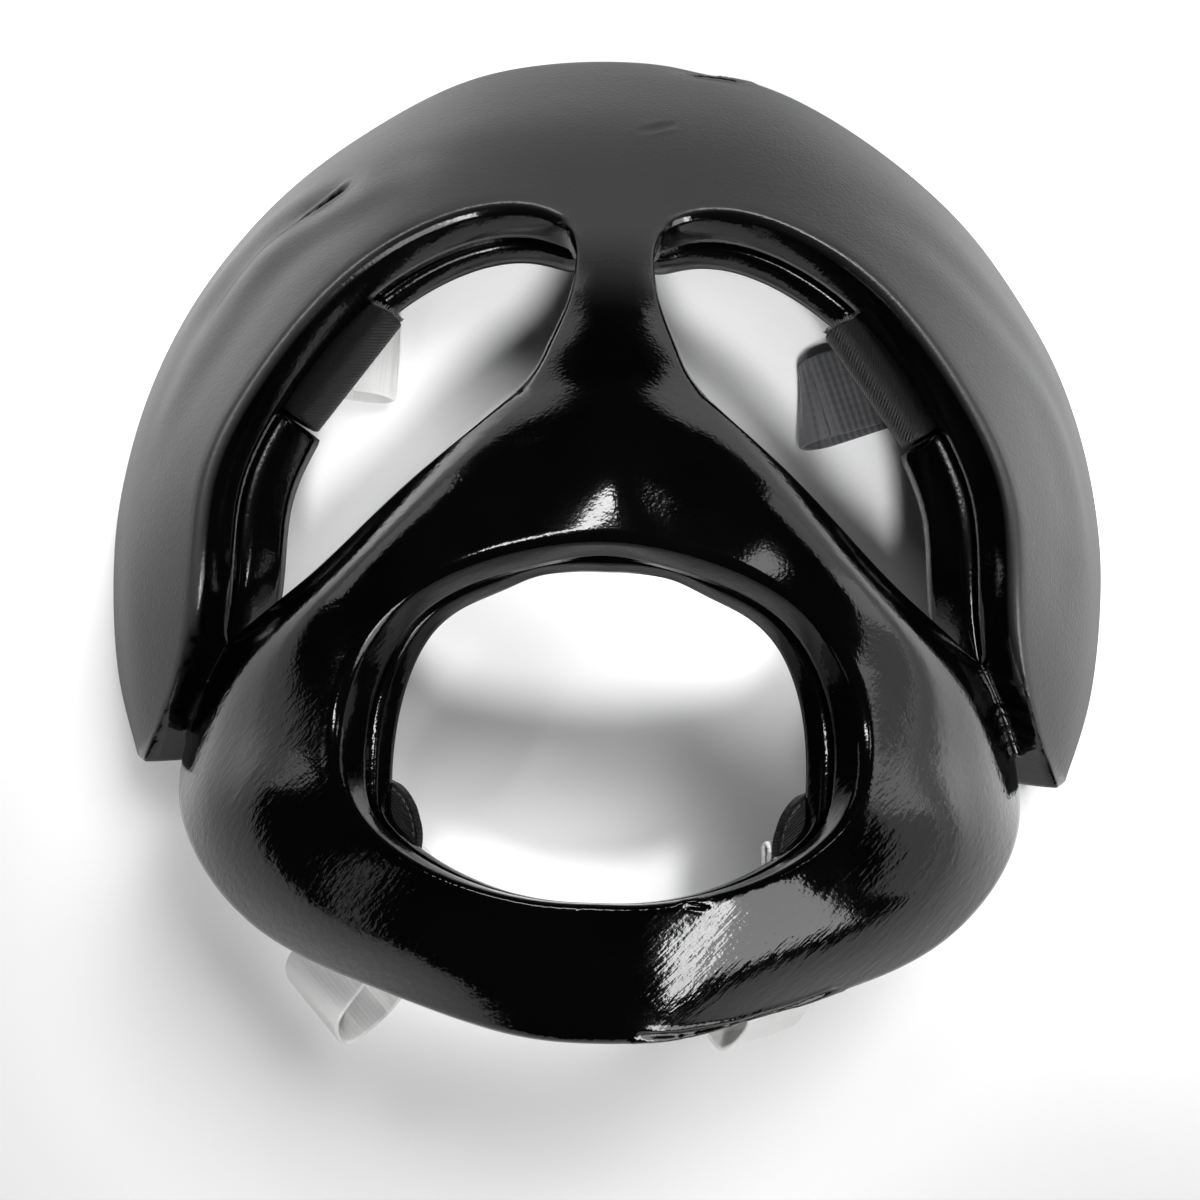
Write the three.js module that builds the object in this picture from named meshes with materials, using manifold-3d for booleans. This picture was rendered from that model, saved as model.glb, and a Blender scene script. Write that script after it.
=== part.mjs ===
// Dipped-foam wrestling face guard lying on its back: the rear rim of the forehead arch is on the
// table (z = 0), the muzzle is up, +Y runs from the chin to the top of the forehead. Millimetres.
import * as THREE from 'three';
import { mergeVertices } from 'three/addons/utils/BufferGeometryUtils.js';
import Module from 'manifold-3d';

const wasm = await Module();
wasm.setup();

// Driving dimensions
const SHELL_WALL = 10; // outer foam layer with its vinyl skin
const LINER_WALL = 6; // inner foam layer of the forehead and the muzzle
const PAD_WALL = 11; // inner foam pad beside each eye
const LAYER_GAP = 0.3; // clearance between two pieces that touch
const SURFACE_LEVELS = 2; // halvings of the coarse sections into the finished surface
const FIT_ROUNDS = 8; // rounds that draw the smooth surface through the sections
const NORMAL_ROUNDS = 6; // rounds that even out the direction of the wall's thickness
const WEB_WALL = 1.4; // black webbing of the tabs
const TAB_WIDTH = 27; // width of that webbing
const TAB_LEAF = 20; // length of a temple tab from the edge of the eye hole to its open end
const TAB_FOLD = 4.3; // distance between the two leaves of a temple tab
const TAB_OVERHANG = 1; // how far the fold looks out past the edge of the eye hole
const TAB_STATION = 3.5; // place of the temple tabs on the arch, counted in sections
const FOLD_STEPS = 6; // facets of a quarter turn of the fold
const PATCH_LENGTH = 22; // cheek tab from the edge of the mouth hole to its square end
const PATCH_WIDTH = 19;
const PATCH_OVERHANG = 2; // how far the round end looks out into the mouth hole
const PATCH_STATION = 6.5; // place of the cheek tabs on the muzzle, counted in sections
const STRAP_WALL = 1; // hook and loop strap
const STRAP_WIDTH = 19;
const STRAP_FACETS = 3; // facets between two places of a strap's route where it isn't sewn flat
const STRAP_DROP = 11; // how far a temple strap runs straight out of its tab
const STRAP_HEEL = 19; // how far from its tab a temple strap turns towards the table
const SEWN_LENGTH = 9; // stretch of a cheek strap that lies flat on its tab
const ROOT_APART = 1.3; // distance of the two runs of a strap where they are sewn in
const TEMPLE_APART = 7.8; // the same at the free end of a temple strap
const CHEEK_APART = 12.6; // the same at the free end of a cheek strap
const WING_CLEARANCE = 0.6; // room between the inner layer of the arch and the wing that ends it
const PROBE_STEP = 0.5; // steps that find the edge of a layer
const PROBE_GRID = 8; // spacings of the grid of points that finds its height
const TABLE = 400; // block under the table that trims the rim flat at z = 0
const INNER_DEPTH = SHELL_WALL + LAYER_GAP + LINER_WALL; // of the inside of the guard

const COLOURS = { vinyl: 0x0d0d0e, foam: 0x0a0a0b, web: 0x141415, white: 0xe8e8e6, grey: 0x4a4a4c };

// Forehead arch, right half, from the middle to the tip beside the cheek. front is the edge above
// the eye hole, rear the rim that lies on the table, crown the swell of the band between the two.
const ARCH = [
  { at: 'middle', front: [0, 75.5, 52], rear: [0, 132, 9.8], crown: 6.5 },
  { at: 'nose root', front: [10.5, 78, 50.5], rear: [22, 130, 9.6], crown: 6.5 },
  { at: 'brow', front: [27, 80.5, 51], rear: [46.5, 121, 8.6], crown: 6 },
  { at: 'outer brow', front: [52.3, 66.2, 54.2], rear: [79.4, 94.6, 7.1], crown: 5.4 },
  { at: 'temple', front: [71.6, 39.7, 57.2], rear: [102, 56.3, 5.6], crown: 5 },
  { at: 'cheekbone', front: [79.5, 18, 58], rear: [108.5, 22, 5.6], crown: 4.5 },
  { at: 'notch', front: [81, -5, 53], rear: [107, -5, 6.6], crown: 4 },
  { at: 'tip', front: [88, -22, 37], rear: [102.5, -20, 11], crown: 2 },
  { at: 'tip end', front: [94.5, -32.5, 25.5], rear: [98.5, -29.5, 13], crown: 0.6 },
];

// Muzzle, right half, from the nose round the mouth hole to the chin. rim is the edge of the mouth
// hole, edge the outer edge: eye hole, wing under the arch tip, then jaw rim.
const MUZZLE = [
  { at: 'nose', rim: [0, 5, 84], edge: [0, 38, 72], crown: 3.5 },
  { at: 'nose side', rim: [14, 3.8, 83], edge: [18.5, 38.5, 65], crown: 3.2 },
  { at: 'eye lower', rim: [28, -0.8, 81.5], edge: [36, 21.5, 68], crown: 3 },
  { at: 'eye corner', rim: [40, -9, 79], edge: [57, 2, 60.5], crown: 3.5 },
  { at: 'wing top', rim: [47, -21, 78], edge: [77.5, -11, 39], crown: 4.5 },
  { at: 'wing end', rim: [48.3, -32.5, 79.5], edge: [86, -28.5, 27], crown: 6 },
  { at: 'jaw corner', rim: [44.5, -43.5, 84], edge: [82, -47, 44], crown: 6 },
  { at: 'jaw', rim: [35.5, -52.2, 88], edge: [66, -65.5, 56.5], crown: 5 },
  { at: 'chin side', rim: [23, -58, 91], edge: [42, -76.2, 66.5], crown: 4 },
  { at: 'chin', rim: [10, -60.7, 92], edge: [17, -83.5, 78.5], crown: 2.5 },
  { at: 'chin middle', rim: [0, -61, 92.3], edge: [0, -85, 82], crown: 2 },
];

// Nose bridge between the muzzle and the arch: middle line and right edge.
const BRIDGE = [
  { at: 'nose back', middle: [0, 48, 66.5], side: [13.2, 48.5, 61] },
  { at: 'between the eyes', middle: [0, 58, 60.5], side: [9.8, 58.5, 56.5] },
  { at: 'under the brow', middle: [0, 67, 55.8], side: [8.3, 67.5, 53] },
];

// Where the wall of the mouth hole turns from square to the surface to cut straight down.
const CUT_DOWN = { y: [-36, -60], z: [66, 84], most: 0.8 };

// Sections of the right half between which a piece lies. The temple tab fits between the first two.
const BROW_LINER_END = 3;
const PAD_SECTIONS = [4, 7];
const WING_SECTIONS = [3, 6];

// Free ends of the temple straps on the table, and of the cheek straps past the jaw rim.
const TEMPLE_STRAPS = [
  { side: 'right', sign: 1, end: [46, 54, 5.4], colour: COLOURS.grey },
  { side: 'left', sign: -1, end: [52.5, 61.5, 5.2], colour: COLOURS.white },
];
const CHEEK_STRAPS = [
  { side: 'right', sign: 1, end: [31, -78, 44] },
  { side: 'left', sign: -1, end: [50, -76.8, 40] },
];

// Lie of the straps between their roots and their free ends. part is the way to the free end, turned
// and facing how far the strap lies like the table, sag its dip, open the share of the free end's bend.
const TEMPLE_LIE = {
  drop: { turned: 0.3, open: 1 / 3 },
  heel: { part: 0.12, turned: 0.6, facing: 0.4, open: 1 / 2 },
  bend: { part: 0.25, turned: 0.9, facing: 0.8, open: 1 / 1.3 },
  table: { part: 0.6 },
};
const CHEEK_LIE = [
  { part: 0.4, sag: CHEEK_APART / 3, open: 1 / 2 },
  { part: 0.75, sag: CHEEK_APART / 6, open: 1 },
];

const vec = (xyz) => new THREE.Vector3(...xyz);
const flipped = ([x, y, z]) => [-x, y, z];
const mix = (a, b, t) => vec(a).lerp(vec(b), t);
const ramp = (value, [from, to]) => THREE.MathUtils.clamp((value - from) / (to - from), 0, 1);
const UP = vec([0, 0, 1]);

// Middle point of a section that swells by its crown, out of the plane of its chord.
function crownPoint(from, to, along, crown) {
  const chord = to.clone().sub(from);
  const out = along.clone().cross(chord).normalize();
  return from.clone().lerp(to, 0.5).addScaledVector(out, crown);
}

// Three points across each section of a run: first edge, crown, second edge.
function sectionPoints(rows, closed) {
  const middle = rows.map((row) => mix(row.first, row.second, 0.5));
  const last = rows.length - 1;
  return rows.map((row, i) => {
    const before = closed ? middle[(i + last) % rows.length] : middle[Math.max(i - 1, 0)];
    const after = closed ? middle[(i + 1) % rows.length] : middle[Math.min(i + 1, last)];
    const [first, second] = [vec(row.first), vec(row.second)];
    return [first, crownPoint(first, second, after.clone().sub(before), row.crown), second];
  });
}

function archRows() {
  const right = ARCH.map(({ front, rear, crown }) => ({ first: front, second: rear, crown }));
  const left = right.slice(1).reverse();
  return [...left.map(mirrorRow), ...right];
}

function muzzleRows() {
  const right = MUZZLE.map(({ rim, edge, crown }) => ({ first: rim, second: edge, crown }));
  const left = right.slice(1, -1).reverse();
  return [...right, ...left.map(mirrorRow)];
}

function mirrorRow({ first, second, crown }) {
  return { first: flipped(first), second: flipped(second), crown };
}

// Coarse quads of the outer surface, each tagged with its region, station and row.
function coarseSurface() {
  const points = [];
  const quads = [];
  const keep = (point) => points.push(point) - 1;
  const band = (grid, region, closed) => {
    const spans = closed ? grid.length : grid.length - 1;
    for (let i = 0; i < spans; i += 1) {
      const next = grid[(i + 1) % grid.length];
      for (let row = 0; row < grid[i].length - 1; row += 1) {
        const corners = [grid[i][row], next[row], next[row + 1], grid[i][row + 1]];
        quads.push({ corners, tag: { region, station: i, row } });
      }
    }
  };
  const arch = sectionPoints(archRows(), false).map((section) => section.map(keep));
  const muzzle = sectionPoints(muzzleRows(), true).map((section) => section.map(keep));
  const bridge = BRIDGE.map(({ middle, side }) => [flipped(side), middle, side].map((p) => keep(vec(p))));
  const centre = ARCH.length - 1;
  const edgeRow = 2;
  const strip = [
    [muzzle[muzzle.length - 1][edgeRow], muzzle[0][edgeRow], muzzle[1][edgeRow]],
    ...bridge,
    [arch[centre - 1][0], arch[centre][0], arch[centre + 1][0]],
  ];
  band(arch, 'arch', false);
  band(muzzle, 'muzzle', true);
  const columns = [0, 1, 2].map((column) => strip.map((row) => row[column]));
  band(columns, 'bridge', false);
  return { points, quads };
}

const edgeKey = (a, b) => (a < b ? `${a},${b}` : `${b},${a}`);

const total = (list) => list.reduce((sum, point) => sum.add(point), new THREE.Vector3());
const centroid = (list) => total(list).divideScalar(list.length);

// One round of Catmull-Clark subdivision of an open quad mesh. Old points keep their index.
function subdivide({ points, quads }) {
  const facePoints = quads.map(({ corners }) => centroid(corners.map((c) => points[c])));
  const edges = new Map();
  const around = points.map(() => ({ faces: [], edges: [] }));
  quads.forEach(({ corners }, face) => {
    corners.forEach((a, i) => {
      const b = corners[(i + 1) % corners.length];
      const key = edgeKey(a, b);
      if (!edges.has(key)) {
        edges.set(key, { ends: [a, b], faces: [] });
        around[a].edges.push(key);
        around[b].edges.push(key);
      }
      edges.get(key).faces.push(face);
      around[a].faces.push(face);
    });
  });
  const middleOf = ({ ends }) => points[ends[0]].clone().lerp(points[ends[1]], 0.5);
  const moved = points.map((point, index) => {
    const { faces, edges: keys } = around[index];
    const own = keys.map((key) => edges.get(key));
    const border = own.filter((edge) => edge.faces.length === 1);
    if (faces.length === 1) return point.clone();
    if (border.length > 0) return point.clone().lerp(centroid(border.map(middleOf)), 0.5);
    const n = faces.length;
    const sum = centroid(faces.map((face) => facePoints[face]));
    sum.addScaledVector(centroid(own.map(middleOf)), 2).addScaledVector(point, n - 3);
    return sum.divideScalar(n);
  });
  const edgeIndex = new Map();
  for (const [key, edge] of edges) {
    const inner = edge.faces.length === 2;
    const ends = edge.ends.map((end) => points[end]);
    const place = inner ? centroid([...ends, ...edge.faces.map((f) => facePoints[f])]) : middleOf(edge);
    edgeIndex.set(key, moved.push(place) - 1);
  }
  const finer = [];
  quads.forEach(({ corners, tag }, face) => {
    const hub = moved.push(facePoints[face]) - 1;
    corners.forEach((corner, i) => {
      const next = edgeIndex.get(edgeKey(corner, corners[(i + 1) % 4]));
      const previous = edgeIndex.get(edgeKey(corners[(i + 3) % 4], corner));
      finer.push({ corners: [corner, next, hub, previous], tag });
    });
  });
  return { points: moved, quads: finer };
}

function refine(surface) {
  let fine = surface;
  for (let level = 0; level < SURFACE_LEVELS; level += 1) fine = subdivide(fine);
  return fine;
}

// Smooth surface that passes through the points of the section tables.
function smoothSurface() {
  const coarse = coarseSurface();
  const target = coarse.points.map((point) => point.clone());
  for (let round = 0; round < FIT_ROUNDS; round += 1) {
    const fine = refine(coarse);
    coarse.points.forEach((point, i) => point.add(target[i]).sub(fine.points[i]));
  }
  const fine = refine(coarse);
  return { ...fine, normals: evenNormals(fine) };
}

// Directions of the wall's thickness: the surface normals, evened out between neighbours, and upright
// at the lower side of the mouth hole.
function evenNormals({ points, quads }) {
  const facing = quads.map(({ corners }) => {
    const [a, b, c, d] = corners.map((corner) => points[corner]);
    return c.clone().sub(a).cross(d.clone().sub(b)).normalize();
  });
  let normals = [];
  for (let round = 0; round <= NORMAL_ROUNDS; round += 1) {
    const sums = points.map(() => new THREE.Vector3());
    quads.forEach(({ corners }, face) => {
      const own = round === 0 ? facing[face] : total(corners.map((corner) => normals[corner]));
      corners.forEach((corner) => sums[corner].add(own));
    });
    normals = sums.map((sum) => sum.normalize());
  }
  points.forEach(({ y, z }, i) => {
    const part = CUT_DOWN.most * ramp(y, CUT_DOWN.y) * ramp(z, CUT_DOWN.z);
    normals[i].lerp(UP, part).normalize();
  });
  return normals;
}

function geometryFrom(positions, triangles) {
  const geometry = new THREE.BufferGeometry();
  geometry.setAttribute('position', new THREE.Float32BufferAttribute(positions, 3));
  geometry.setIndex(triangles);
  return geometry;
}

// Closed layer of foam between two depths under the part of the surface that wanted() picks.
function foamLayer({ points, quads, normals }, wanted, top, bottom) {
  const faces = quads.filter(({ tag }) => wanted(tag));
  const slot = new Map();
  faces.forEach(({ corners }) => corners.forEach((c) => slot.has(c) || slot.set(c, slot.size)));
  const count = slot.size;
  const positions = [];
  for (const depth of [top, bottom]) {
    for (const corner of slot.keys()) {
      positions.push(...points[corner].clone().addScaledVector(normals[corner], -depth).toArray());
    }
  }
  const directed = new Set();
  faces.forEach(({ corners }) => {
    corners.forEach((c, i) => directed.add(`${c},${corners[(i + 1) % 4]}`));
  });
  const triangles = [];
  faces.forEach(({ corners }) => {
    const [a, b, c, d] = corners.map((corner) => slot.get(corner));
    triangles.push(a, b, c, a, c, d);
    triangles.push(a + count, c + count, b + count, a + count, d + count, c + count);
    corners.forEach((corner, i) => {
      const next = corners[(i + 1) % 4];
      if (directed.has(`${next},${corner}`)) return;
      const [p, q] = [slot.get(corner), slot.get(next)];
      triangles.push(q, p, p + count, q, p + count, q + count);
    });
  });
  return geometryFrom(positions, triangles);
}

function toSolid(geometry) {
  const bare = new THREE.BufferGeometry();
  bare.setAttribute('position', geometry.attributes.position);
  bare.setIndex(geometry.index);
  const { attributes, index } = mergeVertices(bare);
  const vertProperties = new Float32Array(attributes.position.array);
  const triVerts = new Uint32Array(index.array);
  return new wasm.Manifold(new wasm.Mesh({ numProp: 3, vertProperties, triVerts }));
}

function toGeometry(solid) {
  const { vertProperties, triVerts } = solid.getMesh();
  return geometryFrom([...vertProperties], [...triVerts]);
}

// Cuts away what would reach below the table, which leaves the flat strip that the guard rests on.
function restOnTable(solid) {
  const block = new THREE.BoxGeometry(TABLE, TABLE, TABLE).translate(0, 0, -TABLE / 2);
  return solid.subtract(toSolid(block));
}

function largestBody(solid) {
  return solid.decompose().reduce((best, body) => (body.volume() > best.volume() ? body : best));
}

// Local axes at a place between two sections: over is across the band, out points away from the face.
function sectionFrame(rows, station) {
  const low = Math.floor(station);
  const part = station - low;
  const first = mix(rows[low].first, rows[low + 1].first, part);
  const second = mix(rows[low].second, rows[low + 1].second, part);
  const before = mix(rows[low].first, rows[low].second, 0.5);
  const after = mix(rows[low + 1].first, rows[low + 1].second, 0.5);
  const over = second.clone().sub(first).normalize();
  const out = after.sub(before).cross(over).normalize();
  const along = over.clone().cross(out).normalize();
  return { first, over, out, along };
}

// Flips a right-hand piece to the left side and keeps its faces pointing out.
function onSide(geometry, sign) {
  const solid = toSolid(geometry);
  return toGeometry(sign > 0 ? solid : solid.mirror([1, 0, 0]));
}

function plainRows(rows, first, second) {
  return rows.map((row) => ({ first: row[first], second: row[second] }));
}

// Point of a local frame: some way over the band, out of the wall and along the band.
function framePoint({ first, over, out, along }, u, v, w = 0) {
  return first.clone().addScaledVector(over, u).addScaledVector(out, v).addScaledVector(along, w);
}

// Local frame that lies flat on the inner side of a layer, from its edge over the given length.
function seatOn(layer, frame, length, width) {
  const probe = new THREE.Raycaster();
  const start = -3 * INNER_DEPTH;
  const parts = Array.from({ length: PROBE_GRID + 1 }, (_, i) => i / PROBE_GRID);
  const hitsAt = (u) =>
    parts.map((part) => {
      probe.set(framePoint(frame, u, start, (part - 0.5) * width), frame.out);
      return probe.intersectObject(layer)[0];
    });
  let edge = 0;
  while (!hitsAt(edge).every(Boolean)) edge += PROBE_STEP;
  const heightsAt = (u) => hitsAt(u).filter(Boolean).map(({ distance }) => start + distance);
  const lowest = (part) => Math.min(...heightsAt(edge + part * length));
  const slope = (lowest(1) - lowest(0)) / length;
  const beforeEdge = parts.map((part) => -part / PROBE_GRID);
  const level = Math.min(...[...parts, ...beforeEdge].map((part) => lowest(part) - slope * part * length));
  const over = frame.over.clone().addScaledVector(frame.out, slope).normalize();
  const out = frame.along.clone().cross(over).normalize();
  return { first: framePoint(frame, edge, level - LAYER_GAP), over, out, along: frame.along };
}

function axesMatrix({ first, over, out, along }) {
  return new THREE.Matrix4().makeBasis(over, out, along).setPosition(first);
}

// Temple tab: webbing folded over, both leaves flat on the shell, fold towards the eye hole.
function templeTab(seat) {
  const middle = -(TAB_FOLD + WEB_WALL) / 2;
  const [outer, inner] = [(TAB_FOLD + WEB_WALL) / 2, (TAB_FOLD - WEB_WALL) / 2];
  const outline = new THREE.Shape();
  outline.moveTo(TAB_LEAF, middle + outer);
  outline.absarc(-TAB_OVERHANG, middle, outer, Math.PI / 2, 1.5 * Math.PI, false);
  outline.lineTo(TAB_LEAF, middle - outer);
  outline.lineTo(TAB_LEAF, middle - inner);
  outline.absarc(-TAB_OVERHANG, middle, inner, 1.5 * Math.PI, Math.PI / 2, true);
  outline.lineTo(TAB_LEAF, middle + inner);
  const settings = { depth: TAB_WIDTH, bevelEnabled: false, curveSegments: FOLD_STEPS };
  const tab = new THREE.ExtrudeGeometry(outline, settings).translate(0, 0, -TAB_WIDTH / 2);
  return tab.applyMatrix4(axesMatrix(seat));
}

// Cheek tab: flat webbing on the inner layer, its round end looking out into the mouth hole.
function cheekTab(seat) {
  const half = PATCH_WIDTH / 2;
  const outline = new THREE.Shape();
  outline.moveTo(PATCH_LENGTH, -half);
  outline.lineTo(PATCH_LENGTH, half);
  outline.absarc(half - PATCH_OVERHANG, 0, half, Math.PI / 2, 1.5 * Math.PI, false);
  const settings = { depth: WEB_WALL, bevelEnabled: false, curveSegments: FOLD_STEPS };
  const { first, over, out, along } = seat;
  const place = new THREE.Matrix4().makeBasis(over, along.clone().negate(), out).setPosition(first);
  return new THREE.ExtrudeGeometry(outline, settings).translate(0, 0, -WEB_WALL).applyMatrix4(place);
}

// Closed strip: a thin rectangle carried round a loop of places with their own across direction.
function stripLoop(places) {
  const positions = [];
  const triangles = [];
  const count = places.length;
  const corners = [[-1, -1], [1, -1], [1, 1], [-1, 1]];
  places.forEach(({ at, across }, i) => {
    const [after, before] = [places[(i + 1) % count], places[(i + count - 1) % count]];
    const tangent = after.at.clone().sub(before.at).normalize();
    const face = tangent.clone().cross(across).normalize();
    const side = face.clone().cross(tangent).normalize();
    corners.forEach(([s, f], k) => {
      const corner = at.clone().addScaledVector(side, (s * STRAP_WIDTH) / 2);
      positions.push(...corner.addScaledVector(face, (f * STRAP_WALL) / 2).toArray());
      const [here, next, turn] = [4 * i, 4 * ((i + 1) % count), (k + 1) % 4];
      triangles.push(here + k, next + turn, next + k, here + k, here + turn, next + turn);
    });
  });
  return geometryFrom(positions, triangles);
}

// Loop of strap laid double along a route: out on one face, round the free end, back on the other.
function strapLoop(route) {
  const last = route.length - 1;
  const bend = (end, inner) => {
    const heading = end.at.clone().sub(inner.at).normalize();
    return end.at.clone().addScaledVector(heading, end.apart / 2);
  };
  const runOn = (sign) => ({ at, face, apart }) => at.clone().addScaledVector(face, (sign * apart) / 2);
  const back = [...route].reverse();
  const [tip, root] = [bend(route[last], route[last - 1]), bend(route[0], route[1])];
  const course = [...route.map(runOn(1)), tip, ...back.map(runOn(-1)), root];
  const path = new THREE.CatmullRomCurve3(course, true);
  const rows = [...route, route[last], ...back, route[0]];
  const places = [];
  rows.forEach((row, i) => {
    const next = rows[(i + 1) % rows.length];
    const sewn = row.apart === ROOT_APART && next.apart === ROOT_APART;
    const facets = sewn ? 1 : STRAP_FACETS;
    for (let facet = 0; facet < facets; facet += 1) {
      const part = facet / facets;
      const across = row.across.clone().lerp(next.across, part).normalize();
      places.push({ at: path.getPoint((i + part) / rows.length), across });
    }
  });
  return stripLoop(places);
}

// Temple strap: out of the open end of its tab, down the inner wall, then along the table.
function templeStrap(seat, end) {
  const { out, along } = seat;
  const bed = -(WEB_WALL + TAB_FOLD) / 2;
  const tip = vec(end);
  const [lie, down] = [vec([0, -1, 0]), vec([0, 0, -1])];
  const wallAt = (u) => framePoint(seat, u, bed);
  const turned = (part) => along.clone().lerp(lie, part).normalize();
  const facing = (part) => out.clone().lerp(down, part).normalize();
  const { drop, heel, bend, table } = TEMPLE_LIE;
  const corner = wallAt(TAB_LEAF + STRAP_HEEL).lerp(tip, heel.part).setZ(tip.z + TEMPLE_APART);
  const laid = (part, lift) => corner.clone().lerp(tip, part).setZ(tip.z + lift);
  const sewn = [STRAP_WALL, TAB_FOLD, TAB_LEAF + TAB_FOLD].map(wallAt);
  const hung = ({ turned: part, facing: tilt = 0, open }, at) => {
    return { at, face: facing(tilt), across: turned(part), apart: TEMPLE_APART * open };
  };
  const flat = (at) => ({ at, face: down, across: lie, apart: TEMPLE_APART });
  return strapLoop([
    ...sewn.map((at) => ({ at, face: out, across: along, apart: ROOT_APART })),
    hung(drop, wallAt(TAB_LEAF + STRAP_DROP)),
    hung(heel, corner),
    hung(bend, laid(bend.part, STRAP_WALL)),
    flat(laid(table.part, 0)),
    flat(tip),
  ]);
}

// Cheek strap: sewn on its tab, runs under the jaw and ends in an open bend past the jaw rim.
function cheekStrap(seat, end) {
  const { out } = seat;
  const bed = -WEB_WALL - LAYER_GAP - (ROOT_APART + STRAP_WALL) / 2;
  const root = framePoint(seat, PATCH_LENGTH / 3, bed);
  const tip = vec(end);
  const heading = tip.clone().sub(root);
  heading.addScaledVector(out, -heading.dot(out)).normalize();
  const across = out.clone().cross(heading);
  const start = root.clone().addScaledVector(heading, 2 * STRAP_WALL);
  const sewn = root.clone().addScaledVector(heading, SEWN_LENGTH);
  const free = ({ part, sag }) => sewn.clone().lerp(tip, part).addScaledVector(out, -sag);
  return strapLoop([
    ...[root, start, sewn].map((at) => ({ at, face: out, across, apart: ROOT_APART })),
    ...CHEEK_LIE.map((lie) => ({ at: free(lie), face: out, across, apart: CHEEK_APART * lie.open })),
    { at: tip, face: out, across, apart: CHEEK_APART },
  ]);
}

const group = new THREE.Group();
group.name = 'wrestling_face_guard';

function addPiece(name, geometry, color, roughness) {
  const finish = { color, roughness, metalness: 0, side: THREE.DoubleSide };
  const mesh = new THREE.Mesh(geometry, new THREE.MeshStandardMaterial(finish));
  mesh.name = name;
  group.add(mesh);
  return mesh;
}

const surface = smoothSurface();
const archCentre = ARCH.length - 1;
const muzzleCount = muzzleRows().length;
const between = (value, [from, to]) => value >= from && value < to;
const fromNose = (station) => Math.min(station, muzzleCount - 1 - station);
const fromMiddle = (station) => (station < archCentre ? archCentre - 1 - station : station - archCentre);
const isArch = ({ region }) => region === 'arch';
const isMuzzle = ({ region }) => region === 'muzzle';
const isNose = (tag) => isMuzzle(tag) && fromNose(tag.station) === 0;
const isWing = (tag) => isMuzzle(tag) && between(fromNose(tag.station), WING_SECTIONS);
const inBrowLiner = (tag) => isArch(tag) && fromMiddle(tag.station) < BROW_LINER_END;
const inJaw = (tag) => isMuzzle(tag) && fromNose(tag.station) >= WING_SECTIONS[1];
const inMuzzleLiner = (tag) => inJaw(tag) || (isMuzzle(tag) && tag.row === 0);
const inRightPad = (tag) => isArch(tag) && between(tag.station - archCentre, PAD_SECTIONS);

const layer = (wanted, top, bottom) => toSolid(foamLayer(surface, wanted, top, bottom));
const LINER_TOP = SHELL_WALL + LAYER_GAP;
const archShell = layer((tag) => !isMuzzle(tag) || isNose(tag), 0, SHELL_WALL);
const shell = restOnTable(archShell.add(layer(isMuzzle, 0, SHELL_WALL)));
const wingRoom = layer(isWing, -WING_CLEARANCE, SHELL_WALL + WING_CLEARANCE);
const wingEdge = wingRoom.translate([0, WING_CLEARANCE, 0]);
const pad = layer(inRightPad, LINER_TOP, LINER_TOP + PAD_WALL).subtract(wingRoom).subtract(wingEdge);
const sidePad = toGeometry(restOnTable(largestBody(pad)));
const browLiner = restOnTable(layer(inBrowLiner, LINER_TOP, INNER_DEPTH));
const muzzleLiner = layer(inMuzzleLiner, LINER_TOP, INNER_DEPTH);
const shellPiece = addPiece('shell', toGeometry(shell), COLOURS.vinyl, 0.35);
addPiece('brow_liner', toGeometry(browLiner), COLOURS.foam, 0.3);
const chinPiece = addPiece('muzzle_liner', toGeometry(muzzleLiner), COLOURS.foam, 0.3);

const templeFrame = sectionFrame(plainRows(ARCH, 'front', 'rear'), TAB_STATION);
const cheekFrame = sectionFrame(plainRows(MUZZLE, 'rim', 'edge'), PATCH_STATION);
const templeSeat = seatOn(shellPiece, templeFrame, TAB_LEAF, TAB_WIDTH);
const cheekSeat = seatOn(chinPiece, cheekFrame, PATCH_LENGTH, PATCH_WIDTH);
for (const { side, sign, end, colour } of TEMPLE_STRAPS) {
  addPiece(`temple_pad_${side}`, onSide(sidePad, sign), COLOURS.foam, 0.3);
  addPiece(`temple_tab_${side}`, onSide(templeTab(templeSeat), sign), COLOURS.web, 0.6);
  addPiece(`temple_strap_${side}`, onSide(templeStrap(templeSeat, end), sign), colour, 0.7);
}
for (const { side, sign, end } of CHEEK_STRAPS) {
  addPiece(`cheek_tab_${side}`, onSide(cheekTab(cheekSeat), sign), COLOURS.web, 0.6);
  addPiece(`cheek_strap_${side}`, onSide(cheekStrap(cheekSeat, end), sign), COLOURS.white, 0.7);
}

// The origin is the middle of the bounding box on the table.
const box = new THREE.Box3().setFromObject(group);
const middle = box.getCenter(new THREE.Vector3());
group.children.forEach(({ geometry }) => geometry.translate(-middle.x, -middle.y, -box.min.z));

export default group;
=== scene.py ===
"""Looks of a dipped-foam wrestling face guard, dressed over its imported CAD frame.

Lengths are metres in the frame of the CAD model: +Z is up from the table and +Y runs from the chin to
the top of the forehead.
"""

import logging
import math
from dataclasses import dataclass, field
from enum import Enum

import bmesh
import bpy
import numpy as np
from mathutils import Matrix, Quaternion, Vector


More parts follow.
